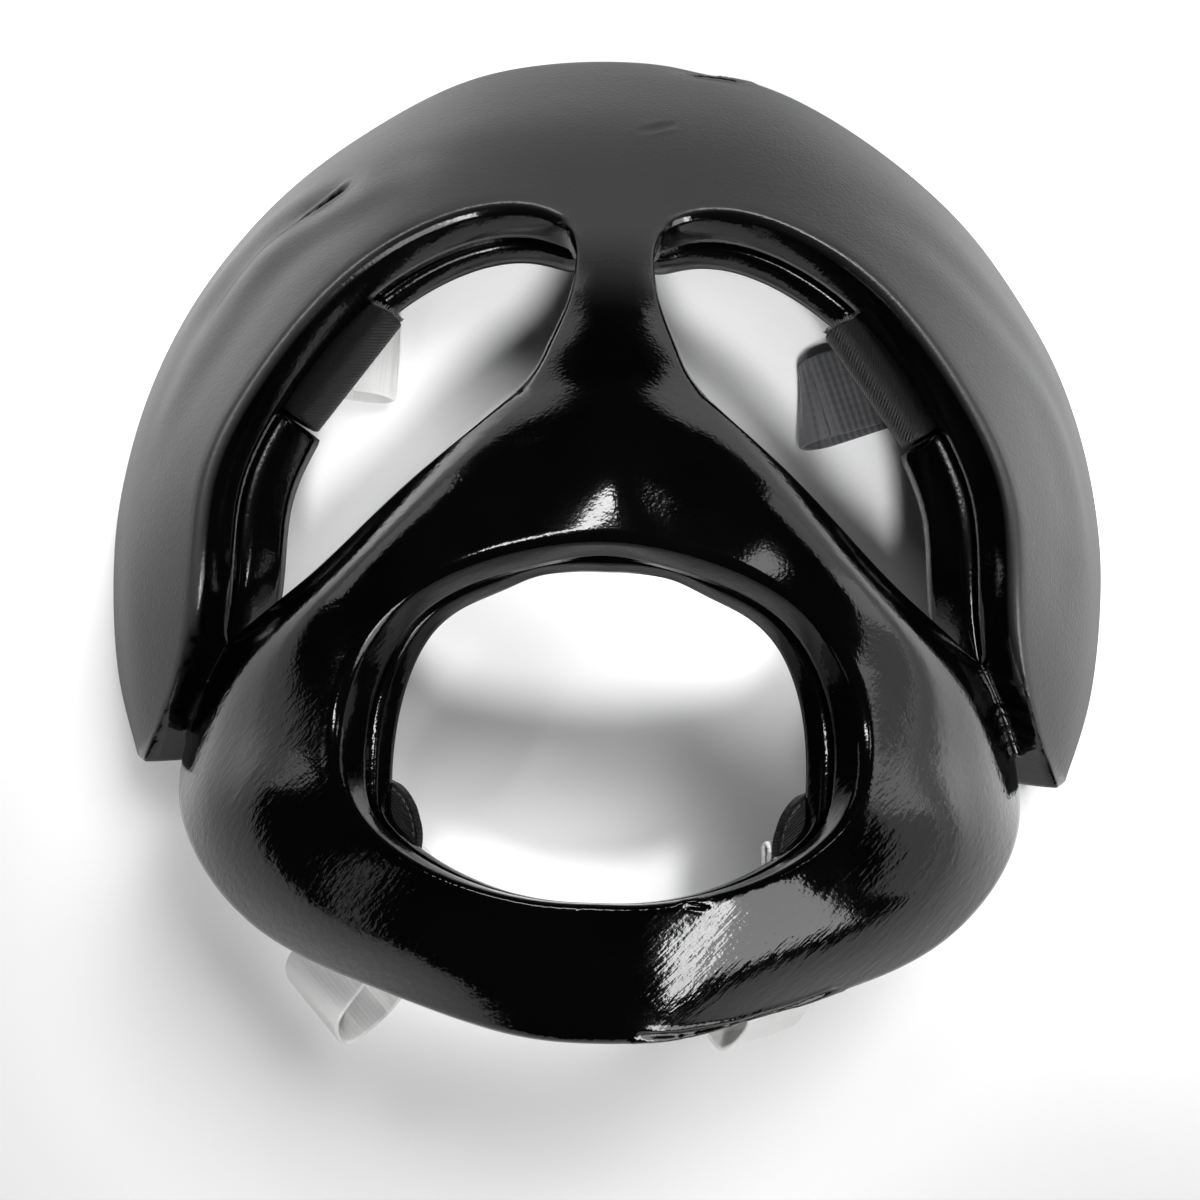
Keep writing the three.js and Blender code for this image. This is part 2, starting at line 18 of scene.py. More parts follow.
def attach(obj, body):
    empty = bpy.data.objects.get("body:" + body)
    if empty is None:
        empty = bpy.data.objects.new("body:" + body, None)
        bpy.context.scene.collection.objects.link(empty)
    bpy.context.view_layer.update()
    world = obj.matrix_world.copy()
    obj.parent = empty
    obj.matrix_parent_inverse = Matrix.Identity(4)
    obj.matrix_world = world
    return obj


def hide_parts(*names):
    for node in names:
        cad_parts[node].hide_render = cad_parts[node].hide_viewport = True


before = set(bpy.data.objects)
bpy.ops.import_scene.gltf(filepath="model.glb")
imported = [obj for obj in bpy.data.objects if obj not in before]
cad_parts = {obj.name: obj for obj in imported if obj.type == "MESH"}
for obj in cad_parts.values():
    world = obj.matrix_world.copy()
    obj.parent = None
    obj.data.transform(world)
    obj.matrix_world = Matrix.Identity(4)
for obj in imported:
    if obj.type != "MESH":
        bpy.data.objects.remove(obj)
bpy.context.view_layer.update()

MM = 0.001
BODY = "root"
SEED = 7
log = logging.getLogger("face_guard")

# Creases of a smaller half width than this, in mm, get a finer mesh.
NARROW = 2.0
# Length over which the bend of a strip is rated.
BEND_REACH = 3.0 * MM
# Distance between the rows of a strip's mesh.
ROUTE_STEP = 0.5 * MM
# Edges of the solid that are sharper than this stay tight.
SHARP_EDGE = math.radians(40.0)
# Limits of bend and of corner angle for two triangles that become one quad.
QUAD_BEND = math.radians(30.0)
QUAD_CORNER = math.radians(80.0)
# Middle of the mouth hole, X and Y in mm.
MOUTH = (0.0, -53.0)
# Border of the satin arch: places along Y, and the distance from the middle there, in mm.
ARCH_BORDER = (
    (-52.0, -45.0, -30.0, -10.0, 10.0, 30.0, 45.0),
    (96.0, 85.0, 79.0, 68.0, 58.0, 50.0, 45.0),
)


class Side(Enum):
    """The two halves of the guard, by the sign of X."""

    RIGHT = 1
    LEFT = -1


class LampUse(Enum):
    """What a lamp lights: only matt surfaces such as the table, or only mirror images."""

    MATT = (True, False)
    MIRROR = (False, True)


class Weave(Enum):
    """Surface pattern of a woven strip, as it is raised in the mesh."""

    TWILL = "twill"
    RIBS = "ribs"
    NAP = "nap"


def welded_copy(node: str) -> bmesh.types.BMesh:
    """Copies a CAD node's loose triangles and welds them.

    Args:
        node: name of the CAD node.

    Returns:
        A new bmesh, which the caller frees.
    """
    work = bmesh.new()
    work.from_mesh(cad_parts[node].data)
    bmesh.ops.remove_doubles(work, verts=work.verts, dist=1e-6)
    return work


def linked(name: str, mesh: bpy.types.Mesh) -> bpy.types.Object:
    """Puts a mesh into the scene as an object at the origin.

    Args:
        name: name of the object and its mesh.
        mesh: the finished mesh.

    Returns:
        The new object.
    """
    mesh.name = name
    obj = bpy.data.objects.new(name, mesh)
    bpy.context.scene.collection.objects.link(obj)
    return obj


def evaluated_mesh(obj: bpy.types.Object) -> bpy.types.Mesh:
    """Gives a plain mesh of an object with its modifiers applied.

    Args:
        obj: object whose modifiers are evaluated.

    Returns:
        A new mesh with nothing live on it.
    """
    graph = bpy.context.evaluated_depsgraph_get()
    return bpy.data.meshes.new_from_object(obj.evaluated_get(graph), depsgraph=graph)


def points_of(mesh: bpy.types.Mesh) -> np.ndarray:
    """Reads a mesh's vertex places.

    Args:
        mesh: mesh to read.

    Returns:
        One row for each vertex.
    """
    flat = np.empty(len(mesh.vertices) * 3)
    mesh.vertices.foreach_get("co", flat)
    return flat.reshape(-1, 3)


def normals_of(mesh: bpy.types.Mesh) -> np.ndarray:
    """Reads a mesh's vertex normals.

    Args:
        mesh: mesh to read.

    Returns:
        One row for each vertex.
    """
    flat = np.empty(len(mesh.vertices) * 3)
    mesh.vertex_normals.foreach_get("vector", flat)
    return flat.reshape(-1, 3)


def set_points(mesh: bpy.types.Mesh, points: np.ndarray) -> None:
    """Writes vertex places back into a mesh.

    Args:
        mesh: mesh to change.
        points: one row for each vertex.
    """
    mesh.vertices.foreach_set("co", points.astype(np.float32).ravel())
    mesh.update()


def smooth_step(low: float, high: float, value: np.ndarray) -> np.ndarray:
    """Rises smoothly from 0 at low to 1 at high.

    Args:
        low: value where the rise begins.
        high: value where it ends.
        value: values to map.

    Returns:
        Values from 0 to 1.
    """
    part = np.clip((value - low) / (high - low), 0.0, 1.0)
    return part * part * (3.0 - 2.0 * part)


class NodeBuilder:
    """Adds and links nodes in one node tree."""

    def __init__(self, tree: bpy.types.NodeTree) -> None:
        """Starts an empty tree.

        Args:
            tree: tree of a material, a world or a geometry group.
        """
        self.tree = tree
        tree.nodes.clear()

    def add(self, kind: str, settings: dict | None = None, **inputs: object) -> bpy.types.Node:
        """Adds one node.

        Args:
            kind: Blender's type name of the node.
            settings: properties of the node itself.
            **inputs: values or output sockets by input name, with underscores for spaces.

        Returns:
            The new node.
        """
        node = self.tree.nodes.new(kind)
        for key, value in (settings or {}).items():
            setattr(node, key, value)
        for key, value in inputs.items():
            self.feed(node, key.replace("_", " "), value)
        return node

    def feed(self, node: bpy.types.Node, key: str | int, value: object) -> None:
        """Sets or links one input of a node.

        Args:
            node: node that takes the value.
            key: name or number of the input.
            value: a constant or an output socket.
        """
        socket = node.inputs[key]
        if isinstance(value, bpy.types.NodeSocket):
            self.tree.links.new(value, socket)
        else:
            socket.default_value = value

    def math(self, operation: str, *values: object) -> bpy.types.NodeSocket:
        """Adds a math node.

        Args:
            operation: Blender's name of the operation.
            *values: constants or output sockets.

        Returns:
            The node's result socket.
        """
        node = self.add("ShaderNodeMath", {"operation": operation})
        for place, value in enumerate(values):
            self.feed(node, place, value)
        return node.outputs[0]

    def attribute(self, name: str, output: str = "Fac") -> bpy.types.NodeSocket:
        """Reads an attribute of the mesh as the named output."""
        return self.add("ShaderNodeAttribute", {"attribute_name": name}).outputs[output]

    def ramp(self, value: bpy.types.NodeSocket, low: float, high: float,
             dark: float = 0.0, light: float = 1.0) -> bpy.types.NodeSocket:
        """Maps a value smoothly from one range to another.

        Args:
            value: socket to map.
            low: input that gives dark.
            high: input that gives light.
            dark: first result.
            light: last result.

        Returns:
            The mapped socket.
        """
        node = self.add("ShaderNodeMapRange", {"interpolation_type": "SMOOTHSTEP"})
        for place, entry in enumerate((value, low, high, dark, light)):
            self.feed(node, place, entry)
        return node.outputs[0]

    def noise(self, place: bpy.types.NodeSocket, size: float, detail: float = 2.0) -> bpy.types.NodeSocket:
        """Adds a noise texture.

        Args:
            place: vector to read it at.
            size: length of one feature.
            detail: number of finer layers.

        Returns:
            The noise value, from 0 to 1.
        """
        node = self.add("ShaderNodeTexNoise", Vector=place, Scale=1.0 / size, Detail=detail, Roughness=0.5)
        return node.outputs[0]

    def bump(self, height: bpy.types.NodeSocket, depth: float,
             under: bpy.types.NodeSocket | None = None) -> bpy.types.NodeSocket:
        """Adds a bump layer.

        Args:
            height: height from 0 to 1.
            depth: real depth of that range.
            under: normal of the layer below.

        Returns:
            The bumped normal.
        """
        node = self.add("ShaderNodeBump", Strength=1.0, Distance=depth, Height=height)
        if under is not None:
            self.feed(node, "Normal", under)
        return node.outputs[0]


def new_material(name: str) -> tuple[bpy.types.Material, NodeBuilder, bpy.types.Node]:
    """Starts a node material with its principled shader.

    Args:
        name: name of the material.

    Returns:
        The material, a builder for its tree, and the shader.
    """
    material = bpy.data.materials.new(name)
    material.use_nodes = True
    build = NodeBuilder(material.node_tree)
    shader = build.add("ShaderNodeBsdfPrincipled")
    output = build.add("ShaderNodeOutputMaterial")
    build.feed(output, "Surface", shader.outputs[0])
    return material, build, shader


@dataclass(frozen=True)
class VinylFinish:
    """Black dipped vinyl skin: glossy or satin, with an orange-peel grain, drawn wrinkles and a painted sheen
    on dull places.

    Attributes:
        name: name of the material.
        base: reflectance of the pigment.
        roughness: roughness of a glossy place.
        satin: roughness of a dull place.
        painted_sheen: matt reflectance added on a dull place, a painted sheen that stands in for the satin's
            reflection of the bright room.
        peel: depth of the orange peel.
        wrinkle: depth of the drawn wrinkles.
    """

    name: str
    base: float
    roughness: float
    satin: float
    painted_sheen: float
    peel: float
    wrinkle: float

    def material(self) -> bpy.types.Material:
        """Builds the node material.

        Returns:
            The material, which reads the layer's attributes wrinkle, satin and shine.
        """
        material, build, shader = new_material(self.name)
        place = build.add("ShaderNodeTexCoord").outputs["Object"]
        marks, dull, shine = (build.attribute(name) for name in ("wrinkle", "satin", "shine"))
        drawn = build.add("ShaderNodeMapping", {"vector_type": "TEXTURE"}, Vector=place,
                          Rotation=(0.0, 0.0, math.radians(46.0)), Scale=(6.0, 1.0, 2.2)).outputs[0]
        tone = build.ramp(build.noise(place, 24 * MM), 0.3, 0.7, self.base * 0.7, self.base * 1.5)
        # Painted sheen: dull skin gets a paler tone, more where the mirror share is high, in place of the
        # satin's reflection of the bright room.
        light_and_tone = build.math("MULTIPLY", dull, build.math("MULTIPLY_ADD", shine, 0.65, 0.35))
        tone = build.math("MULTIPLY_ADD", light_and_tone, self.painted_sheen, tone)
        cool = build.math("MULTIPLY", tone, 1.04)
        colour = build.add("ShaderNodeCombineColor", Red=tone, Green=tone, Blue=cool)
        pores = build.noise(place, 0.75 * MM, 1.0)
        grain = build.math("MULTIPLY", pores, build.math("MULTIPLY_ADD", dull, 2.0, 1.0))
        lines = build.math("MULTIPLY", build.noise(drawn, 0.9 * MM), marks)
        normal = build.bump(build.noise(place, 4.5 * MM), self.peel * 2.2)
        normal = build.bump(lines, self.wrinkle, normal)
        normal = build.bump(grain, self.peel, normal)
        haze = build.ramp(build.noise(place, 9 * MM, 3.0), 0.35, 0.75, self.roughness, self.roughness * 1.7)
        gap = build.math("SUBTRACT", self.satin, haze)
        build.feed(shader, "Base Color", colour.outputs[0])
        build.feed(shader, "Roughness", build.math("MULTIPLY_ADD", dull, gap, haze))
        build.feed(shader, "Normal", normal)
        build.feed(shader, "Specular IOR Level", build.math("MULTIPLY", shine, 0.5))
        shader.inputs["IOR"].default_value = 1.5
        return material


@dataclass(frozen=True)
class ClothFinish:
    """Woven strip: yarn bands from the mesh's own weave coordinate, with fuzz, sheen, painted shade between
    the yarns and a painted highlight on tight bends.

    Attributes:
        name: name of the material.
        colour: colour of the yarn.
        shade: darker colour between the yarns, a painted shade of the gaps.
        weave: pattern of the yarns.
        roughness: roughness of the smoothest fibres.
        pitch: distance between yarns.
        sheen: strength of the fibre sheen.
        fuzz: depth of the fibre bump.
    """

    name: str
    colour: tuple[float, float, float]
    shade: tuple[float, float, float]
    weave: Weave
    roughness: float
    pitch: float
    sheen: float
    fuzz: float

    def yarn(self, build: NodeBuilder, weave: bpy.types.NodeSocket) -> bpy.types.NodeSocket:
        """Lays out the yarns along the strip's own coordinate.

        Args:
            build: builder of the material's tree.
            weave: the strip's own coordinate.

        Returns:
            Height of the yarns, from 0 to 1.
        """
        along, across, _ = build.add("ShaderNodeSeparateXYZ", Vector=weave).outputs
        turn = 2.0 * math.pi / self.pitch
        if self.weave is Weave.TWILL:
            phase = build.math("MULTIPLY", build.math("ADD", along, across), turn)
            return build.ramp(build.math("SINE", phase), -0.9, 0.9)
        bars = build.math("SINE", build.math("MULTIPLY", along, turn))
        if self.weave is Weave.RIBS:
            dash = build.math("SINE", build.math("MULTIPLY", across, 0.8 * turn))
            return build.ramp(build.math("MULTIPLY_ADD", dash, 0.35, bars), -1.1, 1.1)
        loops = build.noise(weave, self.pitch, 3.0)
        return build.ramp(build.math("MULTIPLY_ADD", bars, 0.12, loops), 0.25, 0.75)

    def material(self) -> bpy.types.Material:
        """Builds the node material.

        Returns:
            The material, which reads the strip's attribute weave.
        """
        material, build, shader = new_material(self.name)
        place = build.add("ShaderNodeTexCoord").outputs["Object"]
        weave = build.attribute("weave", "Vector")
        yarn = self.yarn(build, weave)
        fibre = build.noise(place, 0.35 * MM, 3.0)
        soil = build.noise(place, 7 * MM, 3.0)
        # Painted shade: the colour darkens between the raised yarns.
        height = build.math("MULTIPLY_ADD", yarn, 0.45, 0.4)
        mixed = build.math("MULTIPLY", height, build.math("ADD", fibre, 0.55))
        # Painted highlight: the colour is paler on tight bends of the strip.
        bend = build.add("ShaderNodeSeparateXYZ", Vector=weave).outputs[2]
        bend_highlight = build.math("MULTIPLY_ADD", build.ramp(bend, 0.15, 0.7), 1.6, 1.0)
        # Real soil in patches joins the painted shade and highlight in the mix of the two colours.
        light_and_tone = build.math("MULTIPLY", mixed, build.ramp(soil, 0.25, 0.7, 0.86, 1.06))
        light_and_tone = build.math("MULTIPLY", light_and_tone, bend_highlight)
        colour = build.add("ShaderNodeMix", {"data_type": "RGBA", "clamp_factor": True})
        build.feed(colour, 0, light_and_tone)
        build.feed(colour, 6, (*self.shade, 1.0))
        build.feed(colour, 7, (*self.colour, 1.0))
        normal = build.bump(yarn, self.fuzz)
        normal = build.bump(fibre, self.fuzz * 1.4, normal)
        build.feed(shader, "Base Color", colour.outputs[2])
        build.feed(shader, "Roughness", build.ramp(fibre, 0.3, 0.7, self.roughness, self.roughness * 1.35))
        build.feed(shader, "Normal", normal)
        shader.inputs["Sheen Weight"].default_value = self.sheen
        shader.inputs["Sheen Roughness"].default_value = 0.4
        return material


@dataclass(frozen=True)
class FloorFinish:
    """White photo table, faintly uneven in tone.

    Attributes:
        name: name of the material.
        tone: reflectance.
    """

    name: str
    tone: float

    def material(self) -> bpy.types.Material:
        """Builds the node material.

        Returns:
            The material.
        """
        material, build, shader = new_material(self.name)
        place = build.add("ShaderNodeTexCoord").outputs["Object"]
        tone = build.ramp(build.noise(place, 0.12), 0.3, 0.7, self.tone * 0.985, self.tone)
        colour = build.add("ShaderNodeCombineColor", Red=tone, Green=tone, Blue=tone)
        build.feed(shader, "Base Color", colour.outputs[0])
        shader.inputs["Roughness"].default_value = 0.9
        shader.inputs["Specular IOR Level"].default_value = 0.0
        return material


@dataclass(frozen=True)
class Dent:
    """A soft hollow pressed into the skin.

    Attributes:
        place: middle of the dent, in mm.
        reach: half lengths along X, Y and Z, in mm.
        depth: depth in mm; a negative one swells.
    """

    place: tuple[float, float, float]
    reach: tuple[float, float, float]
    depth: float

    def depths(self, points: np.ndarray) -> np.ndarray:
        """Gives the depth at each point.

        Args:
            points: places in metres.

        Returns:
            Depths in metres.
        """
        far = (points - np.array(self.place) * MM) / (np.array(self.reach) * MM)
        return self.depth * MM * np.exp(-np.sum(far * far, axis=1))


@dataclass(frozen=True)
class Crease:
    """A narrow fold line with a swollen lip on each side.

    Attributes:
        ends: first and last point, in mm.
        width: half width in mm.
        depth: depth in mm; a negative one is a ridge.
        lip: height of the lips, as a share of the depth.
    """

    ends: tuple[tuple[float, float, float], tuple[float, float, float]]
    width: float
    depth: float
    lip: float = 0.45

    def depths(self, points: np.ndarray) -> np.ndarray:
        """Gives the depth at each point.

        Args:
            points: places in metres.

        Returns:
            Depths in metres.
        """
        first, last = (np.array(end) * MM for end in self.ends)
        line = last - first
        part = np.clip(((points - first) @ line) / (line @ line), 0.0, 1.0)
        away = np.linalg.norm(points - first - part[:, None] * line, axis=1) / (self.width * MM)
        fade = np.sqrt(np.clip(np.sin(np.pi * np.clip(part, 0.02, 0.98)), 0.0, 1.0))
        slot = np.exp(-away * away) - self.lip * np.exp(-((away - 2.0) ** 2))
        return self.depth * MM * fade * slot


@dataclass
class FoamLayer:
    """One dipped foam layer, softened from its CAD solid.

    Attributes:
        node: CAD node that the layer replaces.
        slot: name of a material slot.
        material: vinyl skin.
        marks: dents and creases of the layer.
        levels: halvings of the CAD facets.
        crease: how tight the cut edges stay, from 0 to 1.
        rounds: smoothing rounds after that.
        wave: depth of the skin's slow unevenness.
        fill: how tight the foam is; not used.
    """

    node: str
    slot: str
    material: bpy.types.Material
    marks: tuple[Dent | Crease, ...] = ()
    levels: int = 2
    crease: float = 0.68
    rounds: int = 1
    wave: float = 0.2 * MM
    fill: float = 0.95

    def build(self) -> bpy.types.Object:
        """Returns:
            The finished piece.
        """
        mesh = self.softened()
        self.refine(mesh)
        self.relax(mesh)
        self.press(mesh)
        self.paint(mesh)
        mesh.shade_smooth()
        mesh.materials.clear()
        mesh.materials.append(self.material)
        piece = linked(f"{self.node}_foam", mesh)
        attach(piece, BODY)
        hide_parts(self.node)
        self.declare(piece)
        return piece

    def declare(self, piece: bpy.types.Object) -> None:
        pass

    def softened(self) -> bpy.types.Mesh:
        """Subdivides the solid into a smooth skin with tight cut edges.

        Returns:
            The new mesh.
        """
        work = welded_copy(self.node)
        bmesh.ops.dissolve_degenerate(work, edges=work.edges, dist=0.02 * MM)
        bmesh.ops.join_triangles(work, faces=work.faces, angle_face_threshold=QUAD_BEND,
                                 angle_shape_threshold=QUAD_CORNER)
        tight = work.edges.layers.float.new("crease_edge")
        for edge in work.edges:
            if len(edge.link_faces) == 2 and edge.calc_face_angle(0.0) > SHARP_EDGE:
                edge[tight] = self.crease
        rough = bpy.data.meshes.new(f"{self.node}_rough")
        work.to_mesh(rough)
        work.free()
        holder = linked(f"{self.node}_rough", rough)
        skin = holder.modifiers.new("skin", "SUBSURF")
        skin.levels = skin.render_levels = self.levels
        mesh = evaluated_mesh(holder)
        bpy.data.objects.remove(holder)
        bpy.data.meshes.remove(rough)
        return mesh

    def refine(self, mesh: bpy.types.Mesh) -> None:
        """Splits the faces around narrow creases, so that the creases stay sharp.

        Args:
            mesh: subdivided layer.
        """
        creases = [mark for mark in self.marks if isinstance(mark, Crease) and mark.width < NARROW]
        for _ in range(2 if creases else 0):
            points = points_of(mesh)
            near = sum(np.abs(mark.depths(points)) for mark in creases) > 0.02 * MM
            work = bmesh.new()
            work.from_mesh(mesh)
            hit = {edge for face in work.faces if any(near[vert.index] for vert in face.verts)
                   for edge in face.edges}
            edges = sorted(hit, key=lambda edge: edge.index)
            bmesh.ops.subdivide_edges(work, edges=edges, cuts=1, smooth=0.6, use_grid_fill=True)
            work.to_mesh(mesh)
            work.free()

    def relax(self, mesh: bpy.types.Mesh) -> None:
        """Evens the skin out between neighbours.

        Args:
            mesh: subdivided layer.
        """
        points = points_of(mesh)
        pairs = np.empty(len(mesh.edges) * 2, dtype=np.int64)
        mesh.edges.foreach_get("vertices", pairs)
        pairs = pairs.reshape(-1, 2)
        count = np.bincount(pairs.ravel(), minlength=len(points))[:, None]
        for _ in range(self.rounds):
            total = np.zeros_like(points)
            for axis in range(3):
                total[:, axis] = (np.bincount(pairs[:, 0], points[pairs[:, 1], axis], len(points))
                                  + np.bincount(pairs[:, 1], points[pairs[:, 0], axis], len(points)))
            points += 0.5 * (total / count - points)
        set_points(mesh, points)

    def press(self, mesh: bpy.types.Mesh) -> None:
        """Presses the layer's marks and a slow unevenness into the skin.

        Args:
            mesh: softened layer.
        """
        points = points_of(mesh)
        depth = np.zeros(len(points))
        for mark in self.marks:
            depth += mark.depths(points)
        slow = points / (17 * MM)
        bent = slow[:, 0] + 1.7 * np.sin(slow[:, 1])
        depth += self.wave * np.sin(bent) * np.sin(1.3 * slow[:, 1] + slow[:, 2])
        set_points(mesh, points - depth[:, None] * normals_of(mesh))

    def paint(self, mesh: bpy.types.Mesh) -> None:
        """Stores where the skin is drawn into wrinkles, where it is dull, and where it shines.

        Args:
            mesh: finished layer.
        """
        points, normals = points_of(mesh), normals_of(mesh)
        low = smooth_step(-30 * MM, -75 * MM, points[:, 1])
        wall = smooth_step(0.75, 0.35, np.abs(normals[:, 2]))
        satin = self.dullness(points, normals)
        shine = self.mirror_share(points, normals, satin)
        tones = {"wrinkle": 0.04 + low + 0.5 * wall, "satin": satin, "shine": shine}
        for name, value in tones.items():
            layer = mesh.attributes.new(name, "FLOAT", "POINT")
            layer.data.foreach_set("value", np.clip(value, 0.0, 1.0).astype(np.float32))

    @staticmethod
    def dullness(points: np.ndarray, normals: np.ndarray) -> np.ndarray:
        """Finds the satin skin, which is on the forehead and the outer side of the arch.

        Args:
            points: places of the skin.
            normals: directions out of the skin.

        Returns:
            1 where the skin is satin and 0 where it is glossy.
        """
        crown = smooth_step(32 * MM, 58 * MM, points[:, 1])
        heights, widths = (np.array(row) * MM for row in ARCH_BORDER)
        border = np.interp(points[:, 1], heights, widths)
        flank = smooth_step(-3 * MM, 3 * MM, np.abs(points[:, 0]) - border)
        out = points / np.array([100 * MM, 100 * MM, 70 * MM])
        out /= np.linalg.norm(out, axis=1)[:, None]
        facing = smooth_step(0.45, 0.75, np.sum(out * normals, axis=1))
        return np.maximum(crown, flank) * facing

    @staticmethod
    def mirror_share(points: np.ndarray, normals: np.ndarray, satin: np.ndarray) -> np.ndarray:
        """Lowers the mirror images where the skin would show the white table too clearly.

        Args:
            points: places of the skin.
            normals: directions out of the skin.
            satin: where the skin is satin.

        Returns:
            Share of the full reflectance, from 0 to 1.
        """
        across, along, up = normals.T
        steep = satin * (1.0 - smooth_step(0.15, 0.8, up))
        low = smooth_step(0.35, -0.05, up)
        top = satin * smooth_step(0.5, 0.8, along)
        jaw = smooth_step(-10 * MM, -40 * MM, points[:, 1]) * (1.0 - satin)
        side = jaw * smooth_step(0.55, 0.85, np.abs(across))
        spoke = points[:, :2] - np.array(MOUTH) * MM
        reach = np.linalg.norm(spoke, axis=1)
        inward = -np.sum(spoke * normals[:, :2], axis=1) / np.maximum(reach, MM)
        mouth = smooth_step(0.2, 0.7, inward) * smooth_step(50 * MM, 42 * MM, reach)
        share = (1.0 - steep) * (1.0 - 0.35 * low) * (1.0 - 0.8 * top)
        return share * (1.0 - 0.4 * side) * (1.0 - 0.75 * mouth)


@dataclass(frozen=True)
class LocalFrame:
    """Axes of a flat CAD piece, longest first, with its extents along them.

    Attributes:
        middle: origin of the axes.
        axes: three unit rows.
        low: lowest place along each axis.
        high: highest place along each axis.
    """

    middle: np.ndarray
    axes: np.ndarray
    low: np.ndarray
    high: np.ndarray

    @classmethod
    def of_node(cls, node: str) -> "LocalFrame":
        """Finds the axes from a CAD node's corners.

        Args:
            node: name of the CAD node.

        Returns:
            Axes sorted by extent, the flat one pointing up.
        """
        work = welded_copy(node)
        points = np.array([vert.co[:] for vert in work.verts])
        work.free()
        middle = points.mean(axis=0)
        _, axes = np.linalg.eigh(np.cov((points - middle).T))
        axes = axes.T
        spans = (points - middle) @ axes.T
        axes = axes[np.argsort(-(spans.max(axis=0) - spans.min(axis=0)))]
        if axes[2][2] < 0:
            axes[2] = -axes[2]
        spans = (points - middle) @ axes.T
        return cls(middle, axes, spans.min(axis=0), spans.max(axis=0))

    def place(self, local: np.ndarray) -> np.ndarray:
        """Turns local places into places in the model.

        Args:
            local: rows of places along the axes.

        Returns:
            Rows of places in the model.
        """
        return self.middle + local @ self.axes


